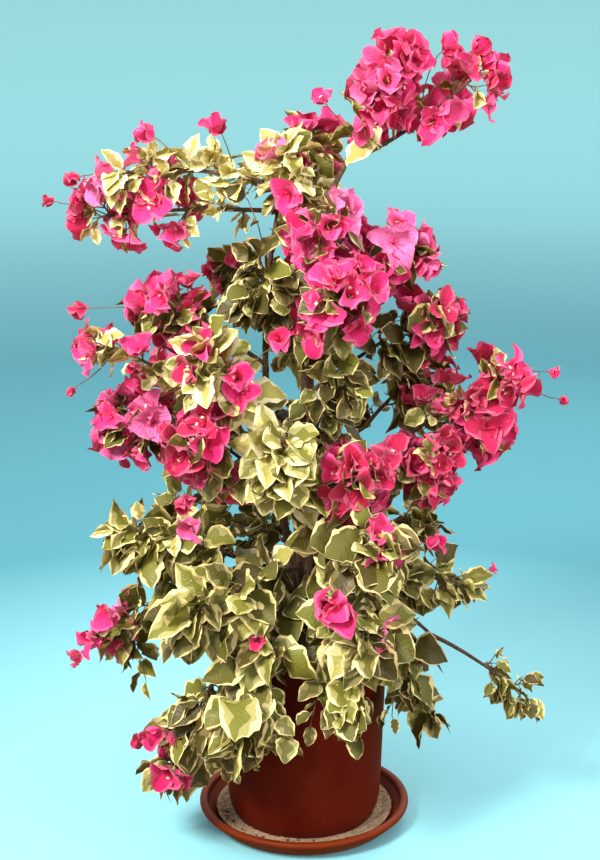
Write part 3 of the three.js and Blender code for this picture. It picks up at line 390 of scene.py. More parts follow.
def through(points):
    """A centripetal Catmull-Rom curve through the points, as a function of t from 0 to 1."""
    p = [np.asarray(q, float) for q in points]
    p = [2 * p[0] - p[1], *p, 2 * p[-1] - p[-2]]

    def point(t):
        span = min(int(t * (len(p) - 3)), len(p) - 4)
        w = t * (len(p) - 3) - span
        a, b, c, d = p[span:span + 4]
        ab, bc, cd = (math.sqrt(np.linalg.norm(v - u)) for u, v in ((a, b), (b, c), (c, d)))
        m1 = ((b - a) / ab - (c - a) / (ab + bc) + (c - b) / bc) * bc
        m2 = ((c - b) / bc - (d - b) / (bc + cd) + (d - c) / cd) * bc
        return (b + m1 * w + (3 * (c - b) - 2 * m1 - m2) * w * w
                + (2 * (b - c) + m1 + m2) * w ** 3)

    return point


def stem_course(start, tip, lift):
    """From a limb to a tip, its middle lifted by a share of the distance."""
    start, tip = np.asarray(start, float), np.asarray(tip, float)
    middle = (start + tip) / 2 + UP * lift * np.linalg.norm(tip - start)
    return bezier(start, middle, tip)


# ---------- limbs ----------

def make_limbs():
    """The trunk, canes and boughs: for each its centre line and its radius as functions of t."""
    foot, top = np.array(TRUNK["foot"], float), np.array(TRUNK["top"], float)
    trunk_line = bezier(foot, (foot + top) / 2 + TRUNK["bow"], top)[0]
    limbs = {"trunk": (trunk_line, lambda t: TRUNK["radius"] + TRUNK["flare"] * (1 - t) ** 3)}
    for name, (radii, via) in CANES.items():
        limbs[name] = (through([trunk_line(TRUNK["fork_at"]), *via]), lambda t, r=radii: lerp(*r, t))
    for name, (limb, at, tip, lift, radii) in BOUGHS.items():
        line = stem_course(limbs[limb][0](at), tip, lift)[0]
        limbs[name] = (line, lambda t, r=radii: lerp(*r, t))
    return limbs


# ---------- growth ----------

def make_sprays(limbs):
    """Each spray as a dict of its fields, its stem's course and the rings of its own space."""
    sprays = []
    for index, row in enumerate(SPRAYS):
        spray = dict(zip(SPRAY_FIELDS, row), seed=SEEDS["first"] + SEEDS["step"] * index)
        start = limbs[spray["limb"]][0](spray["at"])
        spray["point"], spray["tangent"] = stem_course(start, spray["tip"], spray["lift"])
        places = np.linspace(0, 1, SPACE["rings"])
        spray["rings"] = np.array([spray["point"](t) for t in places])
        spray["ring_radii"] = space_radius(spray, places)
        sprays.append(spray)
    return sprays


def space_radius(spray, t):
    """A spray's radius of space along its stem: slim where it is bare, then its reach."""
    leafy = smoothstep(t, spray["bare"] * SPACE["opens_before"], spray["bare"] + SPACE["opens_over"])
    return lerp(SPACE["stem_radius"], spray["reach"], leafy)


def in_reach(spray, points):
    """True where all points keep to the spray's reach."""
    away = np.linalg.norm(np.atleast_2d(points)[:, None] - spray["rings"], axis=-1) / spray["ring_radii"]
    return away.min(axis=1).max() <= SPACE["limit"]


def clear_of_pot(points):
    """True where all points keep clear of pot, saucer and floor."""
    points = np.atleast_2d(points)
    if (points[:, 2] < FLOOR_CLEARANCE).any():
        return False
    out = np.hypot(points[:, 0], points[:, 1])
    return not any(((out < rim + POT_CLEARANCE) & (points[:, 2] < top + POT_CLEARANCE)).any()
                   for rim, top in ((POT["rim"], POT_RIM_Z), (SAUCER["rim"], SAUCER["height"])))


def has_room(spray, points):
    return in_reach(spray, points) and clear_of_pot(points)


def branch_point(branch, share):
    """A point on a twig: straight from root to tip, with its middle bowed to one side."""
    share = np.asarray(share)[..., None]
    return (branch["root"] + branch["direction"] * branch["length"] * share
            + branch["bow"] * 4 * share * (1 - share))


def make_branch(root, direction, length, turn, **more):
    bow = leaving_direction(direction, turn * TAU, math.pi / 2) * length * TWIG["bow"]
    return dict(root=root, direction=direction, length=length, bow=bow, **more)


def twig_plan(spray):
    """The side twigs of a spray, by the golden angle round its stem. The last one ends it."""
    twigs = []
    for k in range(spray["twigs"]):
        random = seeded(spray["seed"] * SEEDS["plan"] + k)
        turn, lean, size = random(), random(), random()
        last = k == spray["twigs"] - 1
        share = 1 if last else (k + 0.5) / (spray["twigs"] - 1)
        at = LAST_TWIG["at"] if last else lerp(spray["bare"], 1, share)
        angle = LAST_TWIG["angle"] if last else lerp(*TWIG["angles"], lean)
        room = space_radius(spray, min(1, at + TWIG["look_ahead"])) - spray["leaf"] / 2
        length = max(TWIG["shortest"], room * lerp(*TWIG["lengths"], size))
        axis = leaving_direction(spray["tangent"](at), k * GOLDEN_ANGLE + turn, angle)
        twigs.append(make_branch(spray["point"](at), unit(axis - UP * TWIG["sag"] * spray["droop"]),
                                 length * (LAST_TWIG["shorter"] if last else 1), turn,
                                 k=k, share=share, random=random))
    return twigs


def finer_twigs(twig, spray):
    """Two finer twigs that leave a twig, the golden angle apart, shorter towards its end."""
    finer = []
    for j, (place, share) in enumerate(zip(FINER["places"], FINER["lengths"])):
        turn = twig["random"]()
        axis = leaving_direction(twig["direction"], j * GOLDEN_ANGLE + turn * TAU, FINER["angle"])
        finer.append(make_branch(branch_point(twig, place),
                                 unit(axis - UP * TWIG["sag"] * spray["droop"]),
                                 max(TWIG["shortest"], twig["length"] * share), turn))
    return finer


def stations(twig, finer):
    """Places for leaves and blooms: the ends first, then back along the twig and its finer ones."""
    return [(branch, share) for share in STATIONS for branch in (twig, *finer)]


def outward_at(point):
    return unit(np.array([point[0], point[1], 0.0]))


def turned(v, angle):
    """A vector turned round the upright axis."""
    c, s = math.cos(angle), math.sin(angle)
    return np.array([c * v[0] - s * v[1], s * v[0] + c * v[1], v[2]])


def leaf_at(spray, branch, i, share, draw, attempt):
    """A leaf leaves its twig, leans outwards and hangs by the spray's droop."""
    turn, size, roll, pale = draw(), draw(), draw(), draw()
    droop = spray["droop"]
    root = branch_point(branch, share)
    outward = turned(outward_at(root), LEAF["facing"] * (roll - 0.5))
    angle = LEAF["end_angle"] if share == 1 else LEAF["side_angle"]
    along = leaving_direction(branch["direction"], i * LEAF["around"] + turn * LEAF["spread"], angle)
    along = unit(along + outward * LEAF["lean"] - UP * LEAF["hang"] * droop)
    up = (outward * (LEAF["face_out"] + LEAF["hang_out"] * droop)
          + UP * (LEAF["face_up"] - LEAF["hang_up"] * droop))
    up = unit(up - along * up.dot(along))
    length = spray["leaf"] * lerp(*LEAF["sizes"], size) * (1 - ATTEMPTS["shrink"] * attempt)
    length *= 1 - LEAF["tip_smaller"] * share ** 2
    stalk = root + along * length * LEAF["stalk"]
    return dict(root=root, base=stalk, along=along, up=up, length=length, pale=pale,
                points=[stalk + along * length * s for s in LEAF["guards"]])


def bloom_at(spray, branch, i, share, draw, attempt):
    """Three bracts round an axis that leaves its twig and leans outwards."""
    turn, size = draw(), draw()
    root = branch_point(branch, share)
    angle = LEAF["end_angle"] if share == 1 else LEAF["side_angle"]
    axis = leaving_direction(branch["direction"], i * BLOOM["around"] + turn * BLOOM["spread"], angle)
    axis = unit(axis + outward_at(root) * BLOOM["lean"])
    scale = lerp(*BLOOM["sizes"], size) * (1 - ATTEMPTS["shrink"] * attempt)
    heart = root + axis * BLOOM["stalk"] * scale
    return dict(root=root, heart=heart, axis=axis, turn=turn * math.pi, scale=scale, tint=draw(),
                points=[heart + axis * BLOOM["length"] * scale * BLOOM["guard"]])


def grow(spray, leaf_share, bloom_share):
    """Twigs, leaves and blooms of one spray. What finds no room is tried smaller, then left out."""
    twigs, leaves, blooms = [], [], []
    for twig in twig_plan(spray):
        while not has_room(spray, branch_point(twig, 1)) and twig["length"] > TWIG["shortest"]:
            twig["length"] *= TWIG["shorten"]
        finer = finer_twigs(twig, spray)
        twigs.append((twig, TWIG["radius"], TWIG["tip_radius"]))
        twigs += [(branch, FINER["radius"], FINER["tip_radius"]) for branch in finer]
        wanted = 0 if twig["share"] < spray["bloom_from"] else spray["blooms"] * bloom_share
        bloom_count = int(wanted + twig["random"]())
        leaf_count = int(spray["leaves"] * leaf_share + twig["random"]())
        places = stations(twig, finer)
        for i, (branch, share) in enumerate(places[:bloom_count + leaf_count]):
            is_bloom = i < bloom_count
            for attempt in range(ATTEMPTS["most"]):
                draw = seeded(spray["seed"] * SEEDS["spray"] + twig["k"] * SEEDS["twig"] + i
                              + attempt * SEEDS["attempt"])
                item = (bloom_at if is_bloom else leaf_at)(spray, branch, i, share, draw, attempt)
                if has_room(spray, item["points"]):
                    (blooms if is_bloom else leaves).append(item)
                    break
    return twigs, leaves, blooms


def fine_twig(spray, at, tip, seed):
    """A fine twig from a place on a spray's stem to a tip, and the draws that go with it."""
    root = spray["point"](at)
    draw = seeded(seed)
    return make_branch(root, unit(tip - root), np.linalg.norm(tip - root), draw()), draw


def lone_bloom(spray, index, at, tip, size, rose):
    """A bloom by itself, at the end of a fine twig."""
    twig, draw = fine_twig(spray, at, tip, spray["seed"] * SEEDS["plan"] + SEEDS["lone"] + index)
    bloom = bloom_at(spray, twig, index, 1, draw, 0)
    bloom.update(scale=size, opening=BLOOM["lone_opening"], rose=rose)
    return twig, bloom


def loose_twig(spray, index, at, tip, count, size):
    """A fine twig that ends outside its spray, with leaves along its outer part."""
    seed = spray["seed"] * SEEDS["plan"] + SEEDS["loose"] + index
    twig, _ = fine_twig(spray, at, tip, seed)
    slight = {**spray, "leaf": spray["leaf"] * size}
    leaves = [leaf_at(slight, twig, i, share, seeded(seed * SEEDS["twig"] + i), 0)
              for i, share in enumerate(np.linspace(1, LOOSE_FOOT, count))]
    return twig, [leaf for leaf in leaves if clear_of_pot(leaf["points"])]


# ---------- meshes ----------

def mesh_object(name, points, faces, materials, slots=None, uv=None, smooth=True, weld=False):
    """A mesh object from arrays: points (n, 3) in millimetres, a list of face arrays (m, k), and
    where given each face's material and each point's place on its own blade or tube. Welding
    merges points that fall together, as on an axis, and lets all faces point outwards."""
    mesh = bpy.data.meshes.new(name)
    loops = np.concatenate([f.reshape(-1) for f in faces]).astype(np.int32)
    sizes = np.concatenate([np.full(len(f), f.shape[1], np.int32) for f in faces])
    mesh.vertices.add(len(points))
    mesh.vertices.foreach_set("co", np.asarray(points * MM, np.float32).reshape(-1))
    mesh.loops.add(len(loops))
    mesh.loops.foreach_set("vertex_index", loops)
    mesh.polygons.add(len(sizes))
    mesh.polygons.foreach_set("loop_start", np.concatenate([[0], np.cumsum(sizes)[:-1]]).astype(np.int32))
    mesh.polygons.foreach_set("use_smooth", np.full(len(sizes), smooth))
    for material in materials:
        mesh.materials.append(material)
    if slots is not None:
        mesh.polygons.foreach_set("material_index", np.concatenate(slots).astype(np.int32))
    if uv is not None:
        layer = mesh.uv_layers.new(name="blade")
        layer.data.foreach_set("uv", np.asarray(uv, np.float32)[loops].reshape(-1))
    mesh.update(calc_edges=True)
    mesh.validate()
    if weld:
        cast = bmesh.new()
        cast.from_mesh(mesh)
        bmesh.ops.remove_doubles(cast, verts=cast.verts, dist=WELD)
        bmesh.ops.recalc_face_normals(cast, faces=cast.faces)
        cast.to_mesh(mesh)
        cast.free()
    obj = bpy.data.objects.new(name, mesh)
    bpy.context.scene.collection.objects.link(obj)
    return obj


def add_piece(name, slot, points, faces, materials, nodes=(), **more):
    """A piece that rides on the plant's one body and stands for its CAD nodes. Its slot is not used."""
    piece = mesh_object(name, points, faces, materials, **more)
    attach(piece, "root")
    if nodes:
        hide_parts(*nodes)


def on_rings(radius, angle, height):
    """Points (..., 3) at a radius and an angle round the upright axis, and at a height."""
    return np.stack(np.broadcast_arrays(radius * np.cos(angle), radius * np.sin(angle), height), axis=-1)


def grid_faces(rows, columns, closed=False):
    """Quads of a grid of rows by columns, joined round where it is closed."""
    i = np.arange(rows - 1)[:, None]
    j = np.arange(columns if closed else columns - 1)[None, :]
    k = (j + 1) % columns
    a, b = i * columns + j, i * columns + k
    c, d = (i + 1) * columns + k, (i + 1) * columns + j
    return np.stack([a, b, c, d], axis=-1).reshape(-1, 4)


def turned_surface(profile, segments):
    """A profile of (radius, height) turned round the upright axis, joined where it comes round."""
    profile = np.asarray(profile, float)
    angle = np.arange(segments) * TAU / segments
    points = on_rings(profile[:, :1], angle, profile[:, 1:])
    return points.reshape(-1, 3), [grid_faces(len(profile), segments, closed=True)]


def many(faces, count, points_each):
    """A template's faces repeated for each of a number of copies."""
    step = np.arange(count)[:, None, None] * points_each
    return [(f[None] + step).reshape(-1, f.shape[1]) for f in faces]


def tube_set(centres, radii, sides):
    """Closed tubes along paths, all at once: centres (n, rings, 3) and radii (n, rings). Each ring
    is set square to its path, from the coordinate axis that the path leaves most."""
    n, rings, _ = centres.shape
    tangent = unit(np.gradient(centres, axis=1))
    chord = centres[:, -1] - centres[:, 0]
    reference = np.eye(3)[np.argmin(np.abs(chord), axis=1)][:, None]
    normal = unit(reference - tangent * (tangent * reference).sum(-1, keepdims=True))
    other = np.cross(tangent, normal)
    angle = np.arange(sides) * TAU / sides
    around = (normal[:, :, None] * np.cos(angle)[None, None, :, None]
              + other[:, :, None] * np.sin(angle)[None, None, :, None])
    points = centres[:, :, None] + around * radii[:, :, None, None]
    first = np.arange(sides)[::-1][None]
    last = (np.arange(sides) + (rings - 1) * sides)[None]
    faces = many([grid_faces(rings, sides, closed=True), first, last], n, rings * sides)
    return points.reshape(-1, 3), faces


# ---------- leaf and bract blades ----------

def blade_faces(rows, columns):
    """Faces of a blade: a fan at its foot, quads between its rows and a fan at its tip. Also the
    column that each face is in."""
    last = rows * columns + 1
    j = np.arange(columns - 1)
    foot = np.stack([np.zeros_like(j), j + 2, j + 1], axis=-1)
    tip = np.stack([np.full_like(j, last), (rows - 1) * columns + 1 + j,
                    (rows - 1) * columns + 2 + j], axis=-1)
    return [foot, grid_faces(rows, columns) + 1, tip], [j, np.tile(j, rows - 1), j]


def blade_points(x, y, z, bow):
    """All points of each blade (n, points, 3) in shares of its length: side, along and up. The foot
    comes first, then the grid row by row, then the tip, which is bowed down."""
    grid = np.stack([x, np.broadcast_to(y, x.shape), z], axis=-1).reshape(len(x), -1, 3)
    foot = np.zeros((len(x), 1, 3))
    tip = foot + [0, 1, 0] - bow * UP
    return np.concatenate([foot, grid, tip], axis=1)


def half_width(form, width, v):
    """Half a blade's width at v along it: width times powers of v and 1 - v, which set how full
    its foot and its tip are."""
    return width * form["fullness"] * v ** form["foot"] * (1 - v) ** form["tip"]


def wavy_rim(form, draw, v, side):
    """How far a blade's rim stands up along v: a slow wave and a quicker one, each of drawn size,
    count and phase, with the phase turned about on the other side of the rib."""
    waves = [draw(*size) * np.sin(draw(*count) * v + draw(0, TAU) * side)
             for size, count in (form["waves"], form["frills"])]
    return waves[0] + waves[1]


def leaf_places(leaves, rng):
    """Leaves as local places in shares of their length.

    The half width is half_width, narrowed further by a fifth power of v at the tip. The green
    centre ends at a wavy share of it, and so does the patch inside. The blade is folded up from
    its rib by |x|, bowed down by v squared and twisted in proportion to v. Its rim, where the
    share across is squared, waves and curls the more the further out it lies.
    """
    form = LEAF_BLADE

    def draw(low, high):
        return rng.uniform(low, high, (len(leaves), 1, 1))

    v = LEAF_ROWS[None, :, None]
    half = half_width(form, LEAF["width"] * draw(*form["widths"]), v) * (1 - form["taper"] * v ** 5)
    cream = stacked(leaves, "cream")[:, None, None]
    edges = []
    for _ in range(2):
        slow = form["wander"] * np.sin(draw(*form["wander_waves"]) * v + draw(0, TAU))
        wander = slow + form["wander"] * np.sin(form["wander_frills"] * v + draw(0, TAU))
        edges.append(np.clip(1.0 - form["margin"] * cream + wander * (0.5 + cream), *form["edge_limits"]))
    patch = [form["patch"][0] + form["patch"][1] * np.sin(form["patch_waves"] * v + draw(0, TAU))
             for _ in range(2)]
    left, right = edges
    one = np.ones_like(left)
    across = np.concatenate([-one, -left, -left * patch[0], 0 * one, right * patch[1], right, one], axis=2)
    side = np.sign(across)
    rim = across ** 2
    nicks = form["nicks"] * rim * np.sin(draw(*form["nick_waves"]) * v + draw(0, TAU) * side)
    x = across * half * (1 + nicks)
    wave = wavy_rim(form, draw, v, side)
    bow = draw(*form["bows"])
    z = draw(*form["folds"]) * np.abs(x) + (wave - draw(*form["curls"])) * rim * half - bow * v ** 2
    twist = draw(*form["twists"]) * v
    turned_x = x * np.cos(twist) - z * form["twist_side"] * np.sin(twist)
    return blade_points(turned_x, v * (1 - form["shorter"] * bow), z + x * np.sin(twist), bow)


def bract_places(n, rng):
    """Bracts as local places in shares of their length: a broad oval with a short point, cupped
    across by x squared, bowed back by v squared, creased along its rib and crinkled at its rim."""
    form = BRACT_BLADE

    def draw(low, high):
        return rng.uniform(low, high, (n, 1, 1))

    v = BRACT_ROWS[None, :, None]
    u = BRACT_COLUMNS[None, None, :]
    side = np.sign(u)
    width = BLOOM["width"] * draw(*form["widths"])
    half = half_width(form, width, v)
    x = u * half * (1 + form["nicks"] * u ** 2 * np.sin(draw(*form["nick_waves"]) * v + draw(0, TAU) * side))
    bow = draw(*form["bows"])
    crinkle = wavy_rim(form, draw, v, side)
    z = (draw(*form["cups"]) * x ** 2 / width + u ** 2 * crinkle * width - bow * v ** 2
         + form["crease"] * np.abs(x))
    return blade_points(x, v, z, bow)


def add_blades(name, slot, places, frames, rows, columns, materials, dealt):
    """One piece of blades: places set in frames of base, along and up. Dealt gives each face's
    material from its column, for each blade. The blade map has u across and v along each blade."""
    base, along, up = (v[:, None] for v in frames)
    points = base + places[..., 0:1] * np.cross(along, up) + places[..., 1:2] * along + places[..., 2:3] * up
    template, face_columns = blade_faces(len(rows), len(columns))
    grid = np.stack(np.broadcast_arrays(columns[None], rows[:, None]), axis=-1).reshape(-1, 2)
    uv = np.concatenate([[[0.5, 0]], grid, [[0.5, 1]]])
    add_piece(name, slot, points.reshape(-1, 3), many(template, len(base), len(uv)), materials,
              slots=[dealt[:, part].reshape(-1) for part in face_columns], uv=np.tile(uv, (len(base), 1)))


# ---------- materials ----------

def node_material(name, color, roughness, **sockets):
    """A plain base colour with other constant values set on the shader's own sockets."""
    material = bpy.data.materials.new(name)
    material.use_nodes = True
    shader = material.node_tree.nodes["Principled BSDF"]
    shader.inputs["Base Color"].default_value = (*color, 1)
    shader.inputs["Roughness"].default_value = roughness
    for socket, value in sockets.items():
        shader.inputs[socket.replace("_", " ")].default_value = value
    return material


def add_node(material, kind, links=(), **values):
    """A node with its values set and its inputs linked from (socket, output) pairs."""
    node = material.node_tree.nodes.new(kind)
    for key, value in values.items():
        if hasattr(node, key):
            setattr(node, key, value)
        else:
            node.inputs[key.replace("_", " ")].default_value = value
    for socket, output in links:
        material.node_tree.links.new(node.inputs[socket], output)
    return node


def math_node(material, operation, *values):
    """The result of a maths node on numbers and outputs."""
    node = add_node(material, "ShaderNodeMath", operation=operation)
    for i, value in enumerate(values):
        if isinstance(value, (int, float)):
            node.inputs[i].default_value = value
        else:
            material.node_tree.links.new(node.inputs[i], value)
    return node.outputs[0]


def object_coordinates(material, scale=(1, 1, 1)):
    place = add_node(material, "ShaderNodeTexCoord")
    mapping = add_node(material, "ShaderNodeMapping", [("Vector", place.outputs["Object"])], Scale=scale)
    return mapping.outputs["Vector"]


def clouds(material, place, scale, detail=2.0, roughness=0.5):
    """Soft noise of 0 to 1, mostly near its middle."""
    return add_node(material, "ShaderNodeTexNoise", [("Vector", place)], Scale=scale, Detail=detail,
                    Roughness=roughness).outputs["Fac"]


def ramp(material, factor, stops):
    """A colour ramp with (place, colour) stops. A single number as a colour is a grey."""
    node = add_node(material, "ShaderNodeValToRGB", [("Fac", factor)])
    elements = node.color_ramp.elements
    elements.remove(elements[1])
    for i, (place, color) in enumerate(stops):
        element = elements[0] if i == 0 else elements.new(place)
        element.position = place
        element.color = (*(color if np.ndim(color) else (color,) * 3), 1)
    return node.outputs["Color"]


def link_shader(material, **outputs):
    shader = material.node_tree.nodes["Principled BSDF"]
    for socket, output in outputs.items():
        material.node_tree.links.new(shader.inputs[socket.replace("_", " ")], output)


def bump(material, height, strength, distance):
    node = add_node(material, "ShaderNodeBump", [("Height", height)], Strength=strength, Distance=distance)
    link_shader(material, Normal=node.outputs["Normal"])


def vein_bump(material, side_veins, slant, strength):
    """Raises a midrib and slanting side veins from the blade's own place: u across and v along.
    The height is a power of the positive part of sin(side veins x (v - slant x |u|)), less a share
    of |u| at the rib."""
    place = add_node(material, "ShaderNodeUVMap", uv_map="blade")
    split = add_node(material, "ShaderNodeSeparateXYZ", [("Vector", place.outputs["UV"])])
    across = math_node(material, "ABSOLUTE", math_node(material, "SUBTRACT", split.outputs["X"], 0.5))
    slanted = math_node(material, "MULTIPLY_ADD", across, -slant, split.outputs["Y"])
    wave = math_node(material, "SINE", math_node(material, "MULTIPLY", slanted, side_veins))
    veins = math_node(material, "POWER", math_node(material, "MAXIMUM", wave, 0.0), VEIN["sharpness"])
    rib = math_node(material, "MULTIPLY", math_node(material, "MINIMUM", across, VEIN["rib_width"]),
                    -VEIN["rib_slope"])
    bump(material, math_node(material, "ADD", veins, rib), strength, VEIN["height"])


def leaf_material(name, color, roughness):
    material = node_material(name, color, roughness, Specular_IOR_Level=0.35)
    vein_bump(material, **VEIN["leaf"])
    return material


def bract_material(name, color):
    material = node_material(name, color, 0.62, Specular_IOR_Level=0.25, Sheen_Weight=0.25,
                             Sheen_Roughness=0.5)
    vein_bump(material, **VEIN["bract"])
    return material


def fine_material(name, color, roughness, grain, depth):
    """Stalks and small flowers: a plain colour with a fine grain."""
    material = node_material(name, color, roughness)
    bump(material, clouds(material, object_coordinates(material), grain), 0.3, depth)
    return material


def bark_material(name, light, dark, grain):
    """Bark or green twig: two browns mixed along stretched noise, and cracks raised by it."""
    material = node_material(name, light, 0.82)
    place = object_coordinates(material, (1, 1, 0.35))
    streaks = clouds(material, place, grain, 6.0, 0.65)
    flecks = clouds(material, place, grain * 4, 3.0)
    link_shader(material, Base_Color=ramp(material, streaks, [(0.36, dark), (0.62, light)]),
                Roughness=ramp(material, flecks, [(0.3, 0.7), (0.7, 0.92)]))
    bump(material, streaks, 0.7, 0.0012)
    return material


def plastic_material(name, color, lighter, roughness):
    """Moulded plastic: a faint clouding of its colour, fine grain and dusty patches."""
    material = node_material(name, color, roughness, Specular_IOR_Level=0.14)
    place = object_coordinates(material)
    patches = clouds(material, place, 16.0, 5.0, 0.6)
    link_shader(material, Base_Color=ramp(material, patches, [(0.35, color), (0.72, lighter)]),
                Roughness=ramp(material, patches, [(0.3, roughness - 0.07), (0.75, roughness + 0.12)]))
    bump(material, clouds(material, place, 900.0), 0.25, 0.0004)
    return material


def grain_material(name, stops, scale):
    """Soil or grit: cells of several colours, with a bump of the same cells."""
    material = node_material(name, stops[0][1], 0.95)
    place = object_coordinates(material)
    cells = add_node(material, "ShaderNodeTexVoronoi", [("Vector", place)], Scale=scale).outputs["Distance"]
    tone = math_node(material, "MULTIPLY", cells, clouds(material, place, scale / 5, 4.0))
    link_shader(material, Base_Color=ramp(material, tone, stops))
    bump(material, cells, 0.6, 0.001)
    return material


# ---------- the plant, grown once for all its pieces ----------

plant = {}


def grown():
    """The limbs, sprays, twigs, leaves and blooms, grown when first asked for and after a change of
    the settings."""
    settings = bpy.context.scene.bougainvillea_plant
    shares = (settings.leaf_share, settings.bloom_share)
    if plant.get("shares") == shares:
        return plant
    limbs = make_limbs()
    sprays = make_sprays(limbs)
    plant.update(shares=shares, limbs=limbs, sprays=sprays, twigs=[], leaves=[], blooms=[])
    for spray in sprays:
        twigs, leaves, blooms = grow(spray, *shares)
        for index, (name, at, tip, count, size) in enumerate(LOOSE_TWIGS):
            if name == spray["name"]:
                twig, more = loose_twig(spray, index, at, tip, count, size)
                twigs.append((twig, FINER["radius"], FINER["tip_radius"]))
                leaves += more
        for leaf in leaves:
            leaf["cream"] = min(1, max(0, spray["cream"] + LEAF["cream_spread"] * (leaf["pale"] - 0.5)))
        for bloom in blooms:
            bloom["rose"] = spray["rose"] + BLOOM["rose_spread"] * (bloom["tint"] - 0.5)
        plant["twigs"] += twigs
        plant["leaves"] += leaves
        plant["blooms"] += blooms
    by_name = {spray["name"]: spray for spray in sprays}
    for index, (name, at, tip, size, rose) in enumerate(LONE_BLOOMS):
        twig, bloom = lone_bloom(by_name[name], index, at, tip, size, rose)
        plant["twigs"].append((twig, FINER["radius"], FINER["tip_radius"]))
        plant["blooms"].append(bloom)
    return plant


def stacked(items, key):
    return np.array([item[key] for item in items])


# ---------- woody pieces ----------

def limb_surface(line, radius, rings, sides, seed):
    """A limb's skin: rings on its line, pushed in and out by ridges stretched along it, finer
    cracks and a swelling at each node where a leaf once sat."""
    t = np.linspace(0, 1, rings)
    centres = np.array([line(s) for s in t])
    points, faces = tube_set(centres[None], np.array([[radius(s) for s in t]]), sides)
    along = np.concatenate([[0], np.cumsum(np.linalg.norm(np.diff(centres, axis=0), axis=1))])[:, None]
    angle = np.arange(sides) * TAU / sides

    def relief(across, length, seed):
        return noise(on_rings(across, angle, along / length), seed)

    swelling = np.exp(-((along % BARK["node_step"] - BARK["node_step"] / 2) / BARK["node_width"]) ** 2)
    push = (1 + BARK["ridge"] * relief(*BARK["ridges"], seed)
            + BARK["crack"] * relief(*BARK["cracks"], seed + 7) + BARK["node"] * swelling)
    middle = centres[:, None]
    points = middle + (points.reshape(rings, sides, 3) - middle) * push[..., None]
    uv = np.stack(np.broadcast_arrays(angle / TAU, along / 100), axis=-1)
    return points.reshape(-1, 3), faces, uv.reshape(-1, 2)


def gather(parts):
    """Several (points, faces, uv) parts as one."""
    points, part_faces, uv = zip(*parts)
    starts = np.cumsum([0] + [len(p) for p in points])
    faces = [f + start for start, group in zip(starts, part_faces) for f in group]
    return np.concatenate(points), faces, np.concatenate(uv)


def thorn_set(limbs, names, rng):
    """Thorns that leave the limbs, slightly bent, their radius shrinking to a fine point."""
    centres = []
    shares = np.linspace(0, 1, len(THORN["taper"]))[:, None]
    for name in names:
        line, radius = limbs[name]
        for t in rng.uniform(*THORN["along"], THORN["per_limb"]):
            tangent = unit(line(min(1, t + 0.01)) - line(max(0, t - 0.01)))
            out = leaving_direction(tangent, rng.uniform(0, TAU), THORN["angle"])
            start = line(t) + out * radius(t) * THORN["sunk"]
            reach = THORN["length"] * rng.uniform(*THORN["lengths"])
            centres.append(start + out * reach * shares - tangent * reach * THORN["bend"] * shares ** 2)
    radii = THORN["radius"] * np.array(THORN["taper"])
    return tube_set(np.array(centres), np.broadcast_to(radii, (len(centres), len(radii))), 5)


class BOUGAINVILLEA_OT_limbs(bpy.types.Operator):
    """Shapes the trunk, the canes and the boughs with bark relief and thorns"""

    bl_idname = "bougainvillea.limbs"
    bl_label = "Trunk, canes and boughs"

    def execute(self, context):
        limbs = grown()["limbs"]
        colors = context.scene.bougainvillea_colors
        bark = bark_material("bark", colors.bark, colors.bark_dark, 420.0)
        for name, members, rings, sides in (("trunk_bark", ["trunk"], 90, 48),
                                            ("cane_bark", list(CANES), 150, 18),
                                            ("bough_bark", list(BOUGHS), 90, 14)):
            points, faces, uv = gather([limb_surface(*limbs[limb], rings, sides, seed)
                                        for seed, limb in enumerate(members)])
            add_piece(name, "bark", points, faces, [bark], members, uv=uv)
        thorns, faces = thorn_set(limbs, [*CANES, *BOUGHS], np.random.default_rng(5))
        thorn_bark = bark_material("thorn_bark", colors.twig, colors.bark_dark, 500.0)
        add_piece("thorns", "bark", thorns, faces, [thorn_bark])
        return {"FINISHED"}


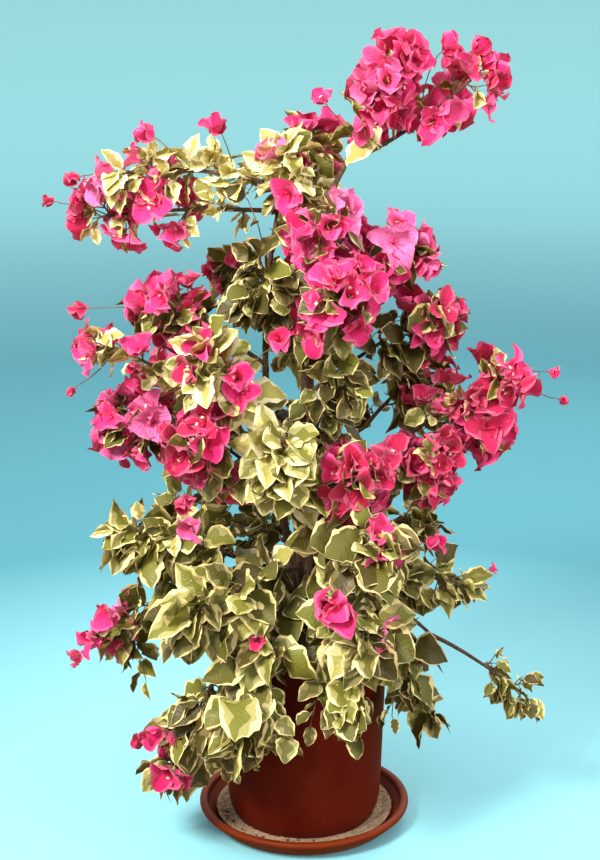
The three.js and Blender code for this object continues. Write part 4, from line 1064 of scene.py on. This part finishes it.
class BOUGAINVILLEA_OT_twigs(bpy.types.Operator):
    """Grows each spray's stem, its twigs and finer twigs, and the stalks of leaves and blooms"""

    bl_idname = "bougainvillea.twigs"
    bl_label = "Stems, twigs and stalks"

    def execute(self, context):
        colors = context.scene.bougainvillea_colors
        growth = grown()
        t = np.linspace(0, 1, STEM["rings"])
        stems = np.array([[spray["point"](s) for s in t] for spray in growth["sprays"]])
        wander = noise(stems / STEM["wander_length"], 3)[..., None] * np.sin(math.pi * t)[None, :, None]
        stems = stems + wander * STEM["wander"] * np.array([1, -1, 0.5])
        radii = np.broadcast_to(lerp(STEM["radius"], STEM["tip_radius"], t), stems.shape[:2])
        bark = bark_material("stem_bark", colors.bark, colors.bark_dark, 600.0)
        add_piece("stems", "bark", *tube_set(stems, radii, 8), [bark], [row[0] for row in SPRAYS])

        shares = np.linspace(0, 1, 5)
        paths = np.array([branch_point(branch, shares) for branch, _, _ in growth["twigs"]])
        radii = np.array([lerp(thick, thin, shares) for _, thick, thin in growth["twigs"]])
        green = bark_material("twig_bark", colors.twig, colors.bark, 700.0)
        add_piece("twigs", "bark", *tube_set(paths, radii, 5), [green])

        self.stalks("leaf_stalks", "leaf", growth["leaves"], "base", colors.stalk, STALK["leaf_radius"])
        self.stalks("bloom_stalks", "blossom", growth["blooms"], "heart", colors.bloom_stalk,
                    STALK["bloom_radius"])
        return {"FINISHED"}

    def stalks(self, name, slot, items, end, color, radius):
        """A stalk from each root on its twig to its leaf or bloom, arched a little upwards."""
        start, tip = stacked(items, "root"), stacked(items, end)
        shares = np.linspace(0, 1, 4)[None, :, None]
        span = np.linalg.norm(tip - start, axis=1)[:, None, None]
        arch = span * STALK["arch"] * shares * (1 - shares) * 4
        paths = lerp(start[:, None], tip[:, None], shares) + arch * UP
        tubes = tube_set(paths, np.full(paths.shape[:2], radius), 4)
        add_piece(name, slot, *tubes, [fine_material(name, color, 0.6, 1500.0, 0.0003)])


# ---------- leaves and blossom ----------

def leaf_piece(name, leaves, tint, rng):
    """One mesh of the leaves of a tint, its materials dealt by column of the blade. A share of the
    leaves is plain, without the grey-green edge of the centre."""
    margin, edge, centre = tint
    materials = [leaf_material(name + "_centre", centre, 0.48), leaf_material(name + "_edge", edge, 0.52),
                 leaf_material(name + "_margin", margin, 0.56)]
    places = leaf_places(leaves, rng) * stacked(leaves, "length")[:, None, None]
    plain = rng.random(len(leaves)) < LEAF["plain_share"]
    dealt = np.where(plain[:, None] & (LEAF_DEALT == 1), 0, LEAF_DEALT)
    frames = [stacked(leaves, key) for key in ("base", "along", "up")]
    add_blades(name, "leaf", places, frames, LEAF_ROWS, LEAF_COLUMNS, materials, dealt)


class BOUGAINVILLEA_OT_leaves(bpy.types.Operator):
    """Grows the cream-edged leaves, one mesh for each of four tints"""

    bl_idname = "bougainvillea.leaves"
    bl_label = "Leaves"

    def execute(self, context):
        leaves = grown()["leaves"]
        rng = np.random.default_rng(11)
        # The tint follows each leaf's cream level. Its sunlit and shaded tints are painted light and shade.
        cream_and_light_level = stacked(leaves, "cream") + LEAF["tint_spread"] * (rng.random(len(leaves)) - 0.5)
        group = (cream_and_light_level[:, None] <= np.array(LEAF_LEVELS)).sum(axis=1)
        for i, (name, tint) in enumerate(LEAF_TINTS.items()):
            leaf_piece(name, [leaf for leaf, g in zip(leaves, group) if g == i], tint, rng)
        return {"FINISHED"}


def bract_frames(blooms, rng):
    """Three bracts a bloom: each leaves the axis at the bloom's own opening, a third of a turn on,
    with its inner face towards the axis. Gives their bases, ways, inner faces and lengths."""
    rows = []
    for bloom in blooms:
        axis = bloom["axis"]
        opening = bloom.get("opening", BLOOM["opening"]) + rng.uniform(*BLOOM["openings"])
        for j in range(3):
            tilt = opening + rng.uniform(*BLOOM["tilts"])
            turn = bloom["turn"] + j * TAU / 3 + rng.uniform(*BLOOM["turns"])
            way = leaving_direction(axis, turn, tilt)
            length = BLOOM["length"] * bloom["scale"] * rng.uniform(*BLOOM["lengths"])
            rows.append((bloom["heart"], way, unit(axis - way * way.dot(axis)), length))
    return [np.array(column) for column in zip(*rows)]


def bract_piece(name, blooms, color, rng):
    """One mesh of the bracts of a pink, their outermost strips painted paler: painted light showing through
    the thin papery rim.
    """
    *frames, length = bract_frames(blooms, rng)
    places = bract_places(len(length), rng) * length[:, None, None]
    # The rim is painted paler, as light showing through the thin papery edge.
    rim = tuple(lerp(np.array(color), np.array(BRACT_RIM_GLOW), BLOOM["rim_glow_share"]))
    materials = [bract_material(name + "_paper", color), bract_material(name + "_rim_glow", rim)]
    dealt = np.tile(BRACT_DEALT, (len(length), 1))
    add_blades(name, "blossom", places, frames, BRACT_ROWS, BRACT_COLUMNS / 2 + 0.5, materials, dealt)


def flower_tubes(blooms, rng):
    """Three slender flower tubes inside the bracts. Also the places and ways of open mouths."""
    centres, mouths, ways = [], [], []
    shares = np.linspace(0, 1, len(FLOWER["swelling"]))[:, None]
    for bloom in blooms:
        for j in range(3):
            way = leaving_direction(bloom["axis"], bloom["turn"] + j * TAU / 3, rng.uniform(*FLOWER["tilts"]))
            reach = FLOWER["length"] * bloom["scale"] * rng.uniform(*FLOWER["lengths"])
            centres.append(bloom["heart"] + way * reach * shares)
            if rng.random() < FLOWER["open_share"]:
                mouths.append(centres[-1][-1])
                ways.append(way)
    radii = FLOWER["radius"] * np.array(FLOWER["swelling"])
    tubes = tube_set(np.array(centres), np.broadcast_to(radii, (len(centres), len(radii))), 5)
    return tubes, np.array(mouths), np.array(ways)


def flower_stars(mouths, ways, rng):
    """Five-lobed stars at the open mouths: a rim of ten points, far and near by turns."""
    corner = np.arange(10)
    angle = rng.uniform(0, TAU, (len(mouths), 1)) + corner * TAU / 10
    radius = np.where(corner % 2 == 0, 1, FLOWER["notch"]) * FLOWER["star"]
    reference = np.eye(3)[np.argmin(np.abs(ways), axis=1)]
    across = unit(reference - ways * (ways * reference).sum(-1, keepdims=True))
    third = np.cross(ways, across)
    rim = (mouths[:, None] + (across[:, None] * np.cos(angle)[..., None]
                              + third[:, None] * np.sin(angle)[..., None]) * radius[:, None]
           + ways[:, None] * FLOWER["raised"])
    points = np.concatenate([mouths[:, None], rim], axis=1)
    fan = np.stack([0 * corner, 1 + corner, 1 + (corner + 1) % 10], axis=-1)
    return points.reshape(-1, 3), many([fan], len(mouths), 11)


class BOUGAINVILLEA_OT_blossom(bpy.types.Operator):
    """Grows the papery bracts in threes, one mesh for each of five pinks, and their small flowers"""

    bl_idname = "bougainvillea.blossom"
    bl_label = "Bracts and flowers"

    def execute(self, context):
        blooms = grown()["blooms"]
        rng = np.random.default_rng(23)
        group = np.digitize(stacked(blooms, "rose"), BRACT_LEVELS)
        for i, (name, color) in enumerate(BRACT_TINTS.items()):
            bract_piece(name, [bloom for bloom, g in zip(blooms, group) if g == i], color, rng)
        tubes, mouths, ways = flower_tubes(blooms, rng)
        tube = fine_material("flower_tube", FLOWER_TINTS["tube"], 0.6, 2000.0, 0.0002)
        star = fine_material("flower_star", FLOWER_TINTS["star"], 0.5, 2000.0, 0.0002)
        add_piece("flower_tubes", "blossom", *tubes, [tube])
        add_piece("flower_stars", "blossom", *flower_stars(mouths, ways, rng), [star])
        return {"FINISHED"}


# ---------- pot, saucer, soil and grit ----------

def round_profile(points, radii):
    """A profile with each inner corner rounded by its own radius: a square-weighted curve between
    two points that lie a radius from the corner on its two sides."""
    points = np.array(points, float)
    t = np.linspace(0, 1, 5)[:, None]
    out = [points[:1]]
    for before, corner, after, radius in zip(points, points[1:], points[2:], radii):
        if radius:
            start, end = (corner + unit(side - corner) * radius for side in (before, after))
            out.append((1 - t) ** 2 * start + 2 * t * (1 - t) * corner + t * t * end)
        else:
            out.append(corner[None])
    return np.concatenate(out + [points[-1:]])


def pot_outer(height):
    """The pot's outer radius above its heel: it widens evenly up to its rim band."""
    share = (height - POT["heel_height"]) / (POT["height"] - POT["heel_height"])
    return lerp(POT["heel"], POT["rim"] - POT["band_step"], share)


class BOUGAINVILLEA_OT_pot(bpy.types.Operator):
    """Turns the plastic pot: rounded heel, tapered wall, rim band and rolled lip"""

    bl_idname = "bougainvillea.pot"
    bl_label = "Pot"

    def execute(self, context):
        colors = context.scene.bougainvillea_colors
        p, band = POT, POT["height"] - POT["band"]
        corners = [(0, 2), (p["foot"] - 8, 2), (p["foot"] - 5, 0), (p["foot"] + 2, 0),
                   (p["heel"] - 1.5, p["heel_height"] * 0.62), (pot_outer(60), 60), (pot_outer(band), band),
                   (p["rim"], band + 1.5), (p["rim"], p["height"]), (p["rim"] - p["wall"] - 1, p["height"]),
                   (pot_outer(60) - p["wall"], 60), (p["foot"] - p["wall"], p["floor"]), (0, p["floor"])]
        radii = (1, 1.5, 3, 16, 0, 0.7, 1, 1.4, 1.4, 0, 8)
        profile = round_profile(corners, radii) + [0, POT_FOOT_Z]
        plastic = plastic_material("pot_plastic", colors.pot, colors.pot_light, 0.55)
        add_piece("pot_shell", "pot", *turned_surface(profile, 144), [plastic], ["pot"], weld=True)
        return {"FINISHED"}


class BOUGAINVILLEA_OT_saucer(bpy.types.Operator):
    """Turns the saucer with its rolled lip"""

    bl_idname = "bougainvillea.saucer"
    bl_label = "Saucer"

    def execute(self, context):
        colors = context.scene.bougainvillea_colors
        s = SAUCER
        corners = [(0, 0), (s["foot"], 0), (s["rim"] - 3, s["height"] - 9), (s["rim"], s["height"] - 6),
                   (s["rim"], s["height"]), (s["inner_rim_glow"], s["height"]),
                   (s["inner_rim_glow"] - 1, s["height"] - 7), (s["inner_foot"], s["floor"]), (0, s["floor"])]
        profile = round_profile(corners, (3, 2, 1.5, 4.2, 4.2, 1, 3))
        plastic = plastic_material("saucer_plastic", colors.saucer, colors.saucer_light, 0.5)
        add_piece("saucer_dish", "saucer", *turned_surface(profile, 144), [plastic], ["saucer"], weld=True)
        return {"FINISHED"}


def scattered_grains(places, sizes, rng):
    """Small eight-faced stones of uneven axes, each turned its own way about the upright."""
    n = len(places)
    corners = np.array([[1, 0, 0], [0, 1, 0], [-1, 0, 0], [0, -1, 0], [0, 0, 1], [0, 0, -1]], float)
    faces = np.array([[0, 1, 4], [1, 2, 4], [2, 3, 4], [3, 0, 4], [1, 0, 5], [2, 1, 5], [3, 2, 5], [0, 3, 5]])
    shape = corners[None] * rng.uniform(0.6, 1.2, (n, 6, 1)) * np.array([1, 0.85, 0.7])
    angle = rng.uniform(0, TAU, n)
    x = shape[..., 0] * np.cos(angle)[:, None] - shape[..., 1] * np.sin(angle)[:, None]
    y = shape[..., 0] * np.sin(angle)[:, None] + shape[..., 1] * np.cos(angle)[:, None]
    points = places[:, None] + np.stack([x, y, shape[..., 2]], axis=-1) * sizes[:, None, None]
    return points.reshape(-1, 3), many([faces], n, len(corners))


def strew(name, slot, places, sizes, material, rng):
    """A piece of loose grains at their places, of even draws between two sizes."""
    points, faces = scattered_grains(places, rng.uniform(*sizes, len(places)), rng)
    add_piece(name, slot, points, faces, [material], smooth=False)


def bed(name, slot, profile, roughness, segments, material, seed):
    """A loose bed: a turned profile whose points above its base are lifted by noise."""
    points, faces = turned_surface(profile, segments)
    lift = noise(points / 4, seed) * 0.6 + noise(points / 1.7, seed + 1) * 0.4
    points[:, 2] += lift * roughness * (points[:, 2] > points[:, 2].min() + 1)
    add_piece(name, slot, points, faces, [material], [slot], weld=True)


class BOUGAINVILLEA_OT_soil(bpy.types.Operator):
    """Fills the pot with crumbly soil and strews grit in the saucer"""

    bl_idname = "bougainvillea.soil"
    bl_label = "Soil and grit"

    def execute(self, context):
        colors = context.scene.bougainvillea_colors
        rng = np.random.default_rng(31)
        self.soil(grain_material("soil", [(0.1, SOIL_DARK), (0.35, colors.soil)], 320.0), rng)
        self.grit(grain_material("grit", [(0.05, colors.grit_dark), (0.3, colors.grit)], 500.0), rng)
        litter = grain_material("litter", LITTER_STOPS, 300.0)
        angle = rng.uniform(*LITTER["angles"], LITTER["count"])
        places = on_rings(LITTER["ring"], angle, self.grit_top(0) + LITTER["above"])
        places = places + rng.normal(0, LITTER["spread"], places.shape)
        strew("litter_flakes", "grit", places, LITTER["sizes"], litter, rng)
        return {"FINISHED"}

    def soil(self, material, rng):
        """Soil that is mounded by the square of its radius, with crumbs on top."""
        radius = pot_outer(POT["height"] - SOIL["below_rim_glow"]) - POT["wall"] - 0.6
        low = POT_FOOT_Z + POT["floor"] + 0.3
        side = [(0, low), (POT["foot"] - 7, low), (radius - 0.8, SOIL_Z - 6)]
        top = [(r, SOIL_Z - SOIL["mound"] * (r / radius) ** 2) for r in np.linspace(radius, 1, 40)]
        bed("soil_bed", "soil", side + top + [(0, SOIL_Z)], 1.6, 180, material, 4)
        out = radius * np.sqrt(rng.random(SOIL["crumbs"])) * 0.96
        angle = rng.uniform(0, TAU, len(out))
        crumbs = on_rings(out, angle, SOIL_Z - SOIL["mound"] * (out / radius) ** 2 + 0.8)
        strew("soil_crumbs", "soil", crumbs, SOIL["crumb_sizes"], material, rng)

    def grit(self, material, rng):
        """Grit that is banked up towards the saucer's side, with loose grains on top."""
        inner, floor = GRIT["inner"], SAUCER["floor"] + 0.3
        rise = [(r, self.grit_top(r)) for r in np.linspace(113, 90, 24)]
        foot = [(inner, floor), (105, floor), (113.2, self.grit_top(113) - 1)]
        bed("grit_bed", "grit", foot + rise + [(inner, floor)], 0.9, 300, material, 8)
        out = rng.uniform(*GRIT["grain_ring"], GRIT["grains"])
        grains = on_rings(out, rng.uniform(0, TAU, len(out)), self.grit_top(out) + 0.3)
        strew("grit_grains", "grit", grains, GRIT["grain_sizes"], material, rng)

    def grit_top(self, radius):
        """The grit's height at a radius."""
        return SAUCER["floor"] + 0.3 + GRIT["depth"] + GRIT["bank"] * smoothstep(radius, *GRIT["banked"])


# ---------- stage ----------

class BOUGAINVILLEA_OT_stage(bpy.types.Operator):
    """Lays the pale floor, hangs the soft lights and sets up the camera"""

    bl_idname = "bougainvillea.stage"
    bl_label = "Floor, lights and camera"

    def execute(self, context):
        settings = context.scene.bougainvillea_stage
        self.floor(settings)
        for name, place, size, power, color in LIGHTS:
            self.light(name, place, size, power * settings.brightness, color)
        self.sky(context, settings)
        self.camera(context)
        return {"FINISHED"}

    def sky(self, context, settings):
        """Light from all round: the sky's colour above, and the ground's below."""
        world = bpy.data.worlds.new("studio")
        world.use_nodes = True
        way = add_node(world, "ShaderNodeTexCoord")
        parts = add_node(world, "ShaderNodeSeparateXYZ", [("Vector", way.outputs["Generated"])])
        rise = add_node(world, "ShaderNodeMapRange", [("Value", parts.outputs["Z"])], From_Min=-0.3,
                        From_Max=0.3)
        color = ramp(world, rise.outputs["Result"], [(0.0, settings.ground), (1.0, settings.sky)])
        background = world.node_tree.nodes["Background"]
        background.inputs["Strength"].default_value = settings.sky_strength
        world.node_tree.links.new(background.inputs["Color"], color)
        context.scene.world = world
        context.scene.view_settings.view_transform = "Standard"

    def floor(self, settings):
        """A flat disc that curves up into a round wall. Its colour is painted lightest under the plant, a
        painted pool of light, darker further out and light again at the wall, painted light on the
        backdrop. It faces inwards, and casts no colour of its own onto the plant."""
        bend, low, high = FLOOR["bend"], FLOOR["flat"], FLOOR["wall"]
        turn = np.linspace(0, math.pi / 2, 12)
        curve = [(low + bend * math.sin(a), bend - bend * math.cos(a)) for a in turn]
        profile = [(r, 0) for r in FLOOR["rings"]] + curve + [high]
        material = node_material("floor", settings.floor, 0.85)
        out = add_node(material, "ShaderNodeVectorMath", [("Vector", object_coordinates(material))],
                       operation="LENGTH")
        share = math_node(material, "MULTIPLY", out.outputs["Value"], 1 / FLOOR["span"])
        # Painted light: lightest under the plant, darker further out, light again at the wall.
        colors = (settings.floor, settings.backdrop, settings.backdrop, settings.wall)
        link_shader(material, Base_Color=ramp(material, share, list(zip(FLOOR["stops"], colors))))
        floor = mesh_object("floor", *turned_surface(profile, 96), [material], weld=True)
        floor.data.flip_normals()
        floor.visible_diffuse = False
        floor.visible_glossy = False

    def light(self, name, place, size, power, color):
        light = bpy.data.lights.new(name, "AREA")
        light.energy, light.size, light.color = power, size, color
        lamp = bpy.data.objects.new(name, light)
        lamp.location = place
        way = Vector(LIGHT_TARGET) - lamp.location
        lamp.rotation_euler = way.to_track_quat("-Z", "Y").to_euler()
        bpy.context.scene.collection.objects.link(lamp)

    def camera(self, context):
        data = bpy.data.cameras.new("camera")
        data.sensor_fit = "VERTICAL"
        data.sensor_height = data.sensor_width = CAMERA["sensor"]
        data.lens = CAMERA["lens"]
        camera = bpy.data.objects.new("camera", data)
        camera.location = CAMERA["place"]
        camera.rotation_euler = (math.pi / 2 - CAMERA["pitch"], 0, 0)
        context.scene.collection.objects.link(camera)
        context.scene.camera = camera


# ---------- settings and panel ----------

def color_property(name, description, default):
    return FloatVectorProperty(name=name, description=description, subtype="COLOR", size=3, min=0, max=1,
                               default=default)


class BougainvilleaPlant(bpy.types.PropertyGroup):
    leaf_share: FloatProperty(name="Leaves", description="Leaves for each one of the spray's own count",
                              default=6.3, min=0.5, max=8, subtype="FACTOR")
    bloom_share: FloatProperty(name="Blooms", description="Blooms for each one of the spray's own count",
                               default=1.75, min=0, max=3, subtype="FACTOR")


class BougainvilleaColors(bpy.types.PropertyGroup):
    bark: color_property("Bark", "The bark's lighter brown", srgb(122, 92, 66))
    bark_dark: color_property("Bark cracks", "The bark's darker brown", srgb(58, 40, 28))
    twig: color_property("Twigs", "The brownish green of young twigs", srgb(112, 96, 52))
    stalk: color_property("Leaf stalks", "The yellow green of leaf stalks", srgb(150, 150, 76))
    bloom_stalk: color_property("Bloom stalks", "The reddish green of bloom stalks", srgb(140, 90, 66))
    pot: color_property("Pot", "The pot's dark red brown", srgb(88, 12, 0))
    pot_light: color_property("Pot, clouded", "The pot's clouded patches", srgb(102, 26, 8))
    saucer: color_property("Saucer", "The saucer's orange brown", srgb(106, 32, 0))
    saucer_light: color_property("Saucer, clouded", "The saucer's clouded patches", srgb(120, 44, 6))
    soil: color_property("Soil", "The soil's brown", srgb(74, 52, 38))
    grit: color_property("Grit", "The grit's sandy grey", srgb(176, 148, 116))
    grit_dark: color_property("Grit, dark", "The grit's darker grains", srgb(104, 80, 60))


class BougainvilleaStage(bpy.types.PropertyGroup):
    # Floor, backdrop and wall paint the light on the stage: lightest under the plant, darker further out,
    # light again at the wall.
    floor: color_property("Floor", "The pale floor", srgb(144, 213, 222))
    backdrop: color_property("Backdrop", "The floor further out", srgb(80, 154, 168))
    wall: color_property("Wall", "The wall round the floor", srgb(178, 250, 255))
    sky: color_property("Sky", "The light from above", srgb(246, 250, 252))
    ground: color_property("Ground", "The light from below", srgb(150, 136, 104))
    sky_strength: FloatProperty(name="Sky strength", description="Strength of the light all round",
                                default=1.0, min=0, max=3)
    brightness: FloatProperty(name="Lights", description="Brightness of the soft lights", default=1.0, min=0,
                              max=4)


STEPS = ("stage", "saucer", "soil", "pot", "limbs", "twigs", "leaves", "blossom")


class BOUGAINVILLEA_PT_panel(bpy.types.Panel):
    bl_label = "Bougainvillea"
    bl_idname = "BOUGAINVILLEA_PT_panel"
    bl_space_type = "VIEW_3D"
    bl_region_type = "UI"
    bl_category = "Bougainvillea"

    def draw(self, context):
        for settings in ("bougainvillea_plant", "bougainvillea_colors", "bougainvillea_stage"):
            group = getattr(context.scene, settings)
            for name in group.bl_rna.properties.keys():
                if name not in ("rna_type", "name"):
                    self.layout.prop(group, name)
        for step in STEPS:
            self.layout.operator("bougainvillea." + step)


CLASSES = (BougainvilleaPlant, BougainvilleaColors, BougainvilleaStage, BOUGAINVILLEA_OT_stage,
           BOUGAINVILLEA_OT_saucer, BOUGAINVILLEA_OT_soil, BOUGAINVILLEA_OT_pot, BOUGAINVILLEA_OT_limbs,
           BOUGAINVILLEA_OT_twigs, BOUGAINVILLEA_OT_leaves, BOUGAINVILLEA_OT_blossom,
           BOUGAINVILLEA_PT_panel)


def register():
    for cls in CLASSES:
        bpy.utils.register_class(cls)
    bpy.types.Scene.bougainvillea_plant = PointerProperty(type=BougainvilleaPlant)
    bpy.types.Scene.bougainvillea_colors = PointerProperty(type=BougainvilleaColors)
    bpy.types.Scene.bougainvillea_stage = PointerProperty(type=BougainvilleaStage)


def unregister():
    del bpy.types.Scene.bougainvillea_plant
    del bpy.types.Scene.bougainvillea_colors
    del bpy.types.Scene.bougainvillea_stage
    for cls in reversed(CLASSES):
        bpy.utils.unregister_class(cls)


def main():
    register()
    for step in STEPS:
        getattr(bpy.ops.bougainvillea, step)()


if __name__ == "__main__":
    main()
